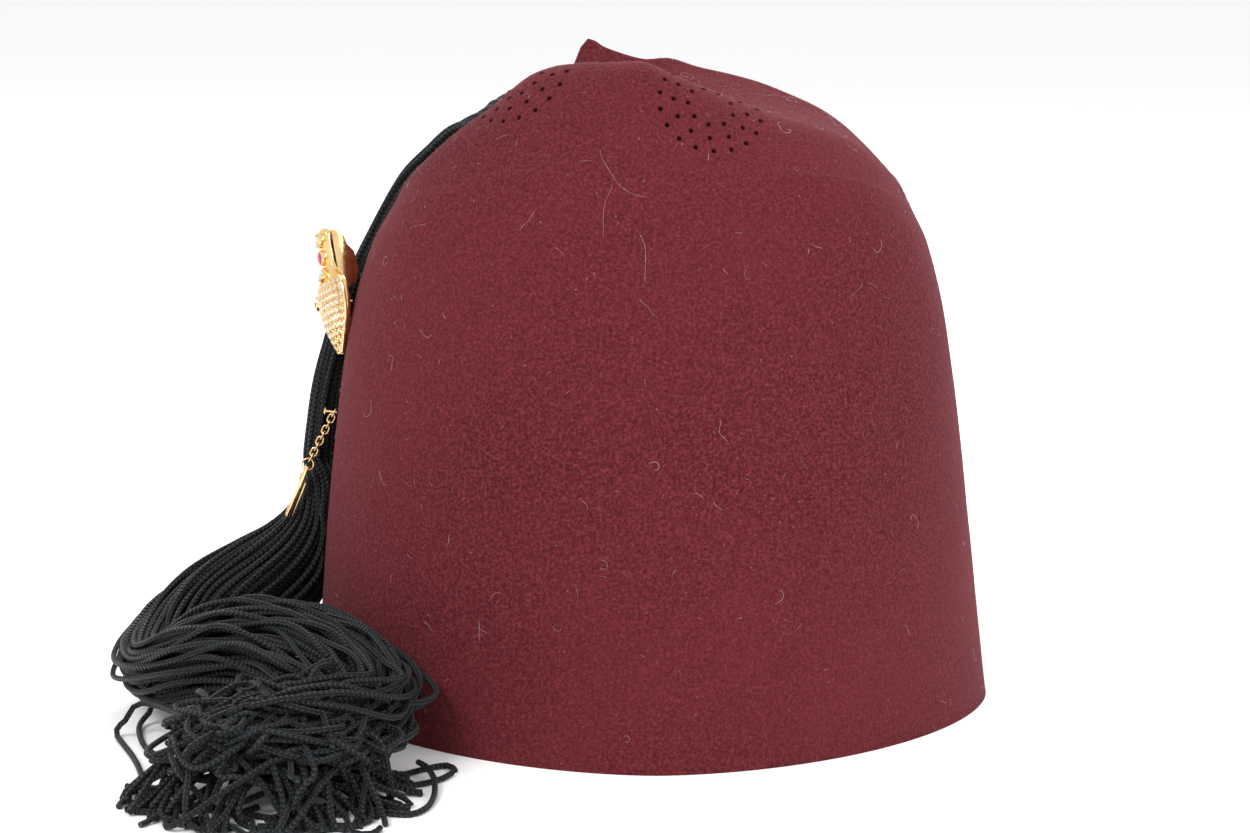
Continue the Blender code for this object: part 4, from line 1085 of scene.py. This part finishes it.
# %% Brooch face
nothing()
bpy.ops.mesh.primitive_grid_add(x_subdivisions=16, y_subdivisions=48, size=2)
plate = bpy.context.object
for vertex in plate.data.vertices:
    share, down = vertex.co.x, (1 - vertex.co.y) / 2
    out = share * value(OUTLINE, 1, down)
    vertex.co = (out * BROOCH_WIDTH / 2, BROOCH_HEIGHT * (0.5 - down), face_height(down, out))
editing(plate)
bpy.ops.mesh.select_all(action="SELECT")
bpy.ops.mesh.extrude_region_move()
bpy.ops.transform.resize(value=(1, 1, 0), center_override=(0, 0, 0))
bpy.ops.object.mode_set(mode="OBJECT")
outward(plate)
rounded(plate, 0.00025, 2, 50)
print("brooch face:", len(plate.data.polygons), "faces")

# %% [markdown]
# ## Cut stones
# A cut stone has a flat table on top, a ring of slanting facets, a thin girdle and a pointed
# back. One cone gives the facets: its foot is extruded twice for the girdle and the back, and
# its top is inset for a second ring of facets. It is modelled once for each size and copied.

# %% One cut stone
def cut_stone(radius, sides):
    nothing()
    bpy.ops.mesh.primitive_cone_add(vertices=sides, radius1=radius, radius2=radius * 0.68,
                                    depth=radius * 0.34, location=(0, 0, radius * 0.17))
    stone = settled(bpy.context.object)
    editing(stone)
    choose(stone, lambda middle, normal: normal.z > 0.99)
    bpy.ops.mesh.inset(thickness=radius * 0.16, depth=radius * 0.10)
    choose(stone, lambda middle, normal: normal.z < -0.99)
    bpy.ops.mesh.extrude_region_move(TRANSFORM_OT_translate={"value": (0, 0, -radius * 0.12)})
    bpy.ops.mesh.extrude_region_move(TRANSFORM_OT_translate={"value": (0, 0, -radius * 0.42)})
    bpy.ops.transform.resize(value=(0.15, 0.15, 1))
    bpy.ops.object.mode_set(mode="OBJECT")
    outward(stone)
    return stone


# %% Small stones and their grains
SMALL_RADIUS, SMALL_STEP = 0.00098, 0.00225
MAIN_STONE = 0.0034
MAIN_STONES = (("clear_stone_1", 0.085, 0.0), ("red_stone_1", 0.225, 0.0),
               ("clear_stone_2", 0.365, 0.0), ("red_stone_2", 0.545, -0.78))

pattern = cut_stone(SMALL_RADIUS, 8)
nothing()
bpy.ops.mesh.primitive_torus_add(major_radius=SMALL_RADIUS + 0.00008, minor_radius=0.00017,
                                 major_segments=12, minor_segments=5)
collar = bpy.context.object
nothing()
bpy.ops.mesh.primitive_uv_sphere_add(segments=7, ring_count=5, radius=0.00027)
grain = bpy.context.object
small, settings, row = [], [], 0
down = 0.455
while down < 0.97:
    reach = value(OUTLINE, 1, down) * BROOCH_WIDTH / 2 - 0.0014
    count = max(1, int(2 * max(reach, 0) / SMALL_STEP) + 1)
    for k in range(count):
        x = 0 if count == 1 else mix(-reach, reach, k / (count - 1))
        out = x / (BROOCH_WIDTH / 2)
        clash = any(math.hypot(x - o * BROOCH_WIDTH / 2, (down - d) * BROOCH_HEIGHT) < 0.0030
                    for _, d, o in MAIN_STONES)
        if not clash:
            at = BROOCH @ on_brooch(down, out, 0.00012)
            small.append(copied(pattern, "small_stone", at))
            settings.append(copied(collar, "collar", at))
            for turn in (45, 225):
                lean = (at @ turned(turn, "Z")
                        @ Matrix.Translation((SMALL_RADIUS + 0.0002, 0, 0.0001)))
                settings.append(copied(grain, "grain", lean))
    down += SMALL_STEP * 0.93 / BROOCH_HEIGHT
    row += 1
print("small stones:", len(small), "in", row, "rows")

# %% Main stones in their collars
gem = cut_stone(MAIN_STONE / 2, 16)
nothing()
bpy.ops.mesh.primitive_cylinder_add(vertices=28, radius=MAIN_STONE / 2 + 0.0007, depth=0.0020,
                                    location=(0, 0, 0.0001))
bezel = settled(bpy.context.object)
editing(bezel)
choose(bezel, lambda middle, normal: normal.z > 0.99)
bpy.ops.mesh.inset(thickness=0.00050, depth=0.0)
bpy.ops.mesh.inset(thickness=0.00010, depth=-0.0007)
bpy.ops.object.mode_set(mode="OBJECT")
rounded(bezel, 0.00015, 2, 60)
for name, down, out in MAIN_STONES:
    settings.append(copied(bezel, "bezel", BROOCH @ on_brooch(down, out)))
    stone = copied(gem, name + "_cut", BROOCH @ on_brooch(down, out, 0.00085))
    glass, slot = (RED, "red_stone") if name.startswith("red") else (CLEAR, "clear_stone")
    finished(stone, name + "_cut", glass, slot, name, smooth=0)
finished(joined(small, "small"), "brooch_small_stones", CLEAR, "clear_stone", smooth=0)

# %% [markdown]
# ## The shield's rim
# A smooth raised rim runs round the shield. It is a round wire that follows the outline, and
# the plate, the rim, the collars and the grains are one casting, so they become one piece.

# %% Rim and plate
rim_path = []
for side in (1, -1):
    shares = [0.36 + 0.62 * k / 30 for k in range(31)]
    for down in (shares if side == 1 else shares[::-1]):
        out = side * value(OUTLINE, 1, down) * 0.97
        rim_path.append(BROOCH @ Vector((out * BROOCH_WIDTH / 2, BROOCH_HEIGHT * (0.5 - down),
                                         face_height(down, out) + 0.0001)))
rim_path = catmull(rim_path, 0.0006)
settings.append(tubes("rim", [rim_path], [0.00052], 8))
moved(plate, BROOCH)
finished(joined([plate] + settings, "casting"), "brooch_casting", GOLD, "gold", "brooch_plate",
         smooth=35)
for helper in (pattern, collar, grain, gem, bezel):
    remove(helper)

# %% [markdown]
# ## Bracket, post and stud
# Behind the stem stands a polished stepped channel, which holds the brooch away from the cords.
# Its shape is the solid's own, so a copy of the solid is merged and its edges are rounded. The
# post goes into the felt, and a small headed stud carries the chain.

# %% Bracket
bracket = bpy.data.objects.new("bracket", SOLIDS["brooch_bracket"].data.copy())
bpy.context.scene.collection.objects.link(bracket)
editing(bracket)
bpy.ops.mesh.select_all(action="SELECT")
bpy.ops.mesh.remove_doubles(threshold=1e-6)
bpy.ops.mesh.dissolve_limited(angle_limit=math.radians(3))
bpy.ops.object.mode_set(mode="OBJECT")
rounded(bracket, 0.0003, 3, 25)
moved(bracket, Matrix.Translation(BROOCH_SHIFT))
finished(bracket, "bracket_polished", GOLD, "gold", "brooch_bracket", smooth=50)

# %% Post and stud
POST_DIAMETER, POST_PLACE = 0.0018, (0.38, 0.62)
STUD_DIAMETER, STUD_HEAD, STUD_LENGTH = 0.0008, 0.0022, 0.0040
CHAIN_START, CHAIN_END = (-0.940, -0.012, 0.450), (-1.028, -0.030, 0.360)


def round_rod(radius, length, sides=24):
    """A rod along Z from the origin, with a collar at its foot."""
    nothing()
    bpy.ops.mesh.primitive_cylinder_add(vertices=sides, radius=radius, depth=length,
                                        location=(0, 0, length / 2))
    rod = settled(bpy.context.object)
    editing(rod)
    bpy.ops.mesh.select_all(action="DESELECT")
    choose(rod, lambda middle, normal: abs(normal.z) > 0.99)
    bpy.ops.mesh.inset(thickness=radius * 0.25, depth=radius * 0.12)
    bpy.ops.object.mode_set(mode="OBJECT")
    return rod


def half_ball(radius, segments, rings, squash):
    """The upper half of a ball, closed below and squashed by three factors."""
    nothing()
    bpy.ops.mesh.primitive_uv_sphere_add(segments=segments, ring_count=rings, radius=radius)
    ball = settled(bpy.context.object)
    editing(ball)
    bpy.ops.mesh.select_all(action="SELECT")
    bpy.ops.mesh.bisect(plane_co=(0, 0, 0), plane_no=(0, 0, 1), clear_inner=True, use_fill=True)
    bpy.ops.mesh.select_all(action="SELECT")
    bpy.ops.transform.resize(value=squash, center_override=(0, 0, 0))
    bpy.ops.object.mode_set(mode="OBJECT")
    return ball


start = BROOCH @ Vector((POST_PLACE[0] * BROOCH_WIDTH / 2,
                         BROOCH_HEIGHT * (0.5 - POST_PLACE[1]), -SEAT_GAP))
inward = -(BROOCH.to_3x3() @ Vector((0, 0, 1))).normalized()
hit, _, _, distance = felt_tree.ray_cast(start - HAT, inward)
stand = standing(start, inward)
post = moved(round_rod(POST_DIAMETER / 2, distance - SEAT_GAP * 2.4), stand)
flange = moved(round_rod(POST_DIAMETER * 0.9, 0.0008), stand)
finished(joined([post, flange], "post"), "post_turned", GOLD, "gold", "brooch_post", smooth=40)

hit, normal, _, _ = felt_tree.find_nearest(in_hat(*CHAIN_START) - HAT)
seat = standing(hit + normal * SEAT_GAP + HAT, normal)
pin = moved(round_rod(STUD_DIAMETER / 2, STUD_LENGTH - 0.0002, 16), seat)
head = half_ball(STUD_HEAD / 2, 20, 10, (1, 1, 0.45))
moved(head, seat @ Matrix.Translation((0, 0, STUD_LENGTH - 0.0006)))
finished(joined([pin, head], "stud"), "stud_turned", GOLD, "gold", "chain_stud", smooth=40)

# %% [markdown]
# ## Chain and ring
# A cable chain is one oval link again and again, each a quarter turn from the last. A torus is
# pulled into the oval by moving its two halves apart, and then copied down the chain's line.

# %% Links
LINK_LENGTH, LINK_WIDTH, LINK_WIRE, LINK_SLACK, LINK_COUNT = 0.0032, 0.0024, 0.0005, 0.0003, 9
RING_DIAMETER = 0.0040


def wire_loop(length, width):
    nothing()
    bpy.ops.mesh.primitive_torus_add(
        major_radius=(width - LINK_WIRE) / 2, minor_radius=LINK_WIRE / 2, major_segments=24,
        minor_segments=8, rotation=(math.pi / 2, 0, 0))
    loop = settled(bpy.context.object)
    if length > width:
        stretch = (length - width) / 2
        for vertex in loop.data.vertices:
            if abs(vertex.co.z) > 1e-5:
                vertex.co.z += math.copysign(stretch, vertex.co.z)
    return loop


def along(start, end, degrees):
    z = (end - start).normalized()
    x = Vector((0, 1, 0)).cross(z).normalized()
    axes = Matrix((x, z.cross(x), z)).transposed().to_4x4()
    return Matrix.Translation(start) @ axes @ turned(degrees, "Z")


start, end = in_hat(*CHAIN_START), in_hat(*CHAIN_END)
step = (end - start).normalized()
pitch = LINK_LENGTH - 2 * LINK_WIRE - LINK_SLACK
first = start + step * ((LINK_LENGTH - STUD_DIAMETER) / 2 - LINK_WIRE - LINK_SLACK * 1.4)
link = wire_loop(LINK_LENGTH, LINK_WIDTH)
for k in range(LINK_COUNT):
    middle = first + step * pitch * k
    name = "chain_link_%02d" % (k + 1)
    finished(copied(link, name, along(middle, middle + step, 90 * ((k + 1) % 2))),
             "link_%02d_round" % (k + 1), GOLD, "gold", name, smooth=80)
reach = pitch * (LINK_COUNT - 1) + (LINK_LENGTH + RING_DIAMETER) / 2 - 2 * LINK_WIRE - LINK_SLACK
ring_middle = first + step * reach
ring = moved(wire_loop(RING_DIAMETER, RING_DIAMETER),
             along(ring_middle, ring_middle + step, 90 * ((LINK_COUNT + 1) % 2)))
finished(ring, "ring_round", GOLD, "gold", "jump_ring", smooth=80)
remove(link)

# %% [markdown]
# ## The drop
# A small polished bar hangs from the ring, with little stones in claws at both ends and a thin
# spring strip behind. The bar is a block whose front is inset and sunk a little, and whose edges
# are rounded.

# %% Drop bar
DROP_LENGTH, DROP_WIDTH, DROP_METAL, DROP_EDGE, DROP_GAP = 0.017, 0.0042, 0.0013, 0.0016, 0.0004
DROP_LEAN, DROP_HOLE = (-0.37, 0.02, -0.93), 0.0018
CLIP_WIDTH, CLIP_METAL = 0.0024, 0.0006


def block(width, depth, length, edge):
    """A block with rounded edges, centred across X and Y and running along Z from the origin."""
    nothing()
    bpy.ops.mesh.primitive_cube_add(size=1, location=(0, 0, length / 2),
                                    scale=(width, depth, length))
    made = settled(bpy.context.object)
    editing(made)
    choose(made, lambda middle, normal: normal.y > 0.9)
    bpy.ops.mesh.inset(thickness=edge * 1.8, depth=-edge * 0.35)
    bpy.ops.object.mode_set(mode="OBJECT")
    return rounded(made, edge, 3, 60)


z = Vector(DROP_LEAN).normalized()
y = (Vector((-1, 0, 0)) + z * z.x).normalized()
DROP = (Matrix.Translation(ring_middle + z * (RING_DIAMETER - LINK_WIRE) / 2)
        @ Matrix((y.cross(z), y, z)).transposed().to_4x4())
top = Matrix.Translation((0, 0, -DROP_EDGE))
bar = moved(block(DROP_WIDTH, DROP_METAL, DROP_LENGTH, 0.00032), top)
nothing()
bpy.ops.mesh.primitive_cylinder_add(vertices=20, radius=DROP_HOLE / 2, depth=DROP_METAL * 4,
                                    rotation=(math.pi / 2, 0, 0))
cut_with(bar, bpy.context.object)
jewel = cut_stone(DROP_WIDTH * 0.17, 8)
nothing()
bpy.ops.mesh.primitive_uv_sphere_add(segments=8, ring_count=6, radius=0.00024)
claw = bpy.context.object
jewels, claws = [], []
for down in (0.24, 0.82, 0.93):
    for aside in (-0.24, 0.24):
        at = (top @ Matrix.Translation((aside * DROP_WIDTH, DROP_METAL * 0.55, DROP_LENGTH * down))
              @ turned(-90, "X"))
        jewels.append(copied(jewel, "jewel", DROP @ at))
        for turn in (45, 135, 225, 315):
            claws.append(copied(claw, "claw", DROP @ at @ turned(turn, "Z")
                                @ Matrix.Translation((DROP_WIDTH * 0.19, 0, 0.0001))))
moved(bar, DROP)
finished(joined([bar] + claws, "bar"), "drop_bar_polished", GOLD, "gold", "drop_bar", smooth=40)
finished(joined(jewels, "jewels"), "drop_small_stones", CLEAR, "clear_stone", smooth=0)

# %% Spring strip
behind = -(DROP_METAL + CLIP_METAL) / 2 - DROP_GAP
strip = block(CLIP_WIDTH, CLIP_METAL, DROP_LENGTH * 0.66, 0.00018)
moved(strip, DROP @ Matrix.Translation((0, behind, DROP_EDGE + RING_DIAMETER / 2)))
finished(strip, "drop_strip", GOLD, "gold", "drop_clip", smooth=40)
for helper in (jewel, claw):
    remove(helper)

# %% [markdown]
# ## Button and binding
# The tassel hangs from a button in the pit. The button is wound from the same black cord, so it
# is one cord laid in a spiral over a low dome, and the cords' ends are bound by the same cord.

# %% Wound button
BUTTON_DIAMETER, BUTTON_HEIGHT, BUTTON_ACROSS, BUTTON_LIFT = 0.009, 0.004, 0.075, 0.0016
WOUND_RADIUS = 0.00052

hit, normal, _, _ = felt_tree.ray_cast(Vector((BUTTON_ACROSS * HALF_WIDTH, 0, CROWN_HEIGHT * 1.5)),
                                       Vector((0, 0, -1)))
seat = standing(hit + normal * (SEAT_GAP + BUTTON_LIFT) + HAT, normal)
spiral, turn, radius = [], 0.0, 0.0002
while radius < BUTTON_DIAMETER / 2:
    height = BUTTON_HEIGHT * math.sqrt(max(0, 1 - (radius / (BUTTON_DIAMETER / 2 * 1.02)) ** 2))
    spiral.append(seat @ Vector((radius * math.cos(turn), radius * math.sin(turn), height)))
    angle = 0.0005 / max(radius, 0.0006)
    turn += angle
    radius += WOUND_RADIUS * 1.75 * angle / (2 * math.pi)
dome = half_ball(BUTTON_DIAMETER / 2, 24, 12, (0.96, 0.96, 0.84))
moved(dome, seat)
winding = tubes("winding", [spiral], [WOUND_RADIUS], CORD_SIDES, mapped=True)
finished(joined([winding, dome], "button"), "button_wound", CORD, "black_cord", "top_button",
         smooth=60)

# %% Binding
BINDING_TURNS, BINDING_STEP, POINTS_PER_TURN = 7, 0.00105, 20
KNOT_POINTS, KNOT_ANGLE = 260, 0.34

starts_at = np.array([paths[k][3] for k in range(CORDS)])
middle = starts_at.mean(axis=0)
forward = np.array([paths[k][8] - paths[k][3] for k in range(CORDS)]).mean(axis=0)
forward = Vector(forward).normalized()
side = route[1][1] - forward * route[1][1].dot(forward)
side.normalize()
up = forward.cross(side)
wide = max(abs((Vector(p) - Vector(middle)).dot(side)) for p in starts_at) + 2 * WOUND_RADIUS
deep = max(abs((Vector(p) - Vector(middle)).dot(up)) for p in starts_at) + 2 * WOUND_RADIUS
helix = []
for k in range(BINDING_TURNS * POINTS_PER_TURN):
    turn = 2 * math.pi * k / POINTS_PER_TURN
    helix.append(Vector(middle) + side * (wide * math.cos(turn)) + up * (deep * math.sin(turn))
                 + forward * (BINDING_STEP * (k / POINTS_PER_TURN - BINDING_TURNS / 2)))
binding = tubes("binding", [catmull(helix, 0.0006)], [WOUND_RADIUS], CORD_SIDES, mapped=True)
knot_path = []
for k in range(KNOT_POINTS):
    turn, share = k * KNOT_ANGLE, k / (KNOT_POINTS - 1)
    size = math.sin(math.pi * share)
    knot_path.append(Vector(middle) - forward * 0.006 + side * (wide * 0.9 * size * math.cos(turn))
                     + up * (deep * 0.95 * size * math.sin(turn))
                     + forward * (0.0042 * math.cos(math.pi * share)))
knot = tubes("knot", [catmull(knot_path, 0.0007)], [WOUND_RADIUS * 1.3], CORD_SIDES, mapped=True)
finished(joined([binding, knot], "binding"), "tassel_binding", CORD, "black_cord", smooth=80)

# %% [markdown]
# ## Floor and light
# The picture was taken in a white studio: a white floor that runs into a white wall, and big
# soft lights. The floor here is one large pale plane, and the light is a bright world with three
# soft lamps, over the left shoulder, from the right and from behind, which give the felt its form.

# %% Floor
nothing()
bpy.ops.mesh.primitive_plane_add(size=12, location=(0, 4, 0))
floor = bpy.context.object
floor.name = "floor"
paper = Recipe("white_paper", Base_Color=(0.93, 0.93, 0.93), Roughness=0.8)
floor.data.materials.append(paper.material)
print("floor:", [round(v, 1) for v in floor.dimensions], "m")

# %% Light
world = bpy.data.worlds.new("studio")
world.use_nodes = True
sky = world.node_tree.nodes["Background"]
sky.inputs[0].default_value = (1.0, 1.0, 1.0, 1.0)
sky.inputs[1].default_value = 1.0
bpy.context.scene.world = world


def soft_light(name, place, size, power, aim=(0.03, 0.03, 0.08)):
    lamp = bpy.data.lights.new(name, "AREA")
    lamp.shape, lamp.size, lamp.energy = "DISK", size, power
    made = bpy.data.objects.new(name, lamp)
    made.location = place
    made.rotation_euler = (Vector(aim) - Vector(place)).to_track_quat("-Z", "Y").to_euler()
    bpy.context.scene.collection.objects.link(made)


soft_light("key_light", (-0.9, -1.2, 1.5), 0.9, 26)
soft_light("fill_light", (1.3, -0.7, 0.9), 1.0, 12)
soft_light("back_light", (0.4, 1.3, 1.3), 0.9, 18)
print("lamps:", len(bpy.data.lights))
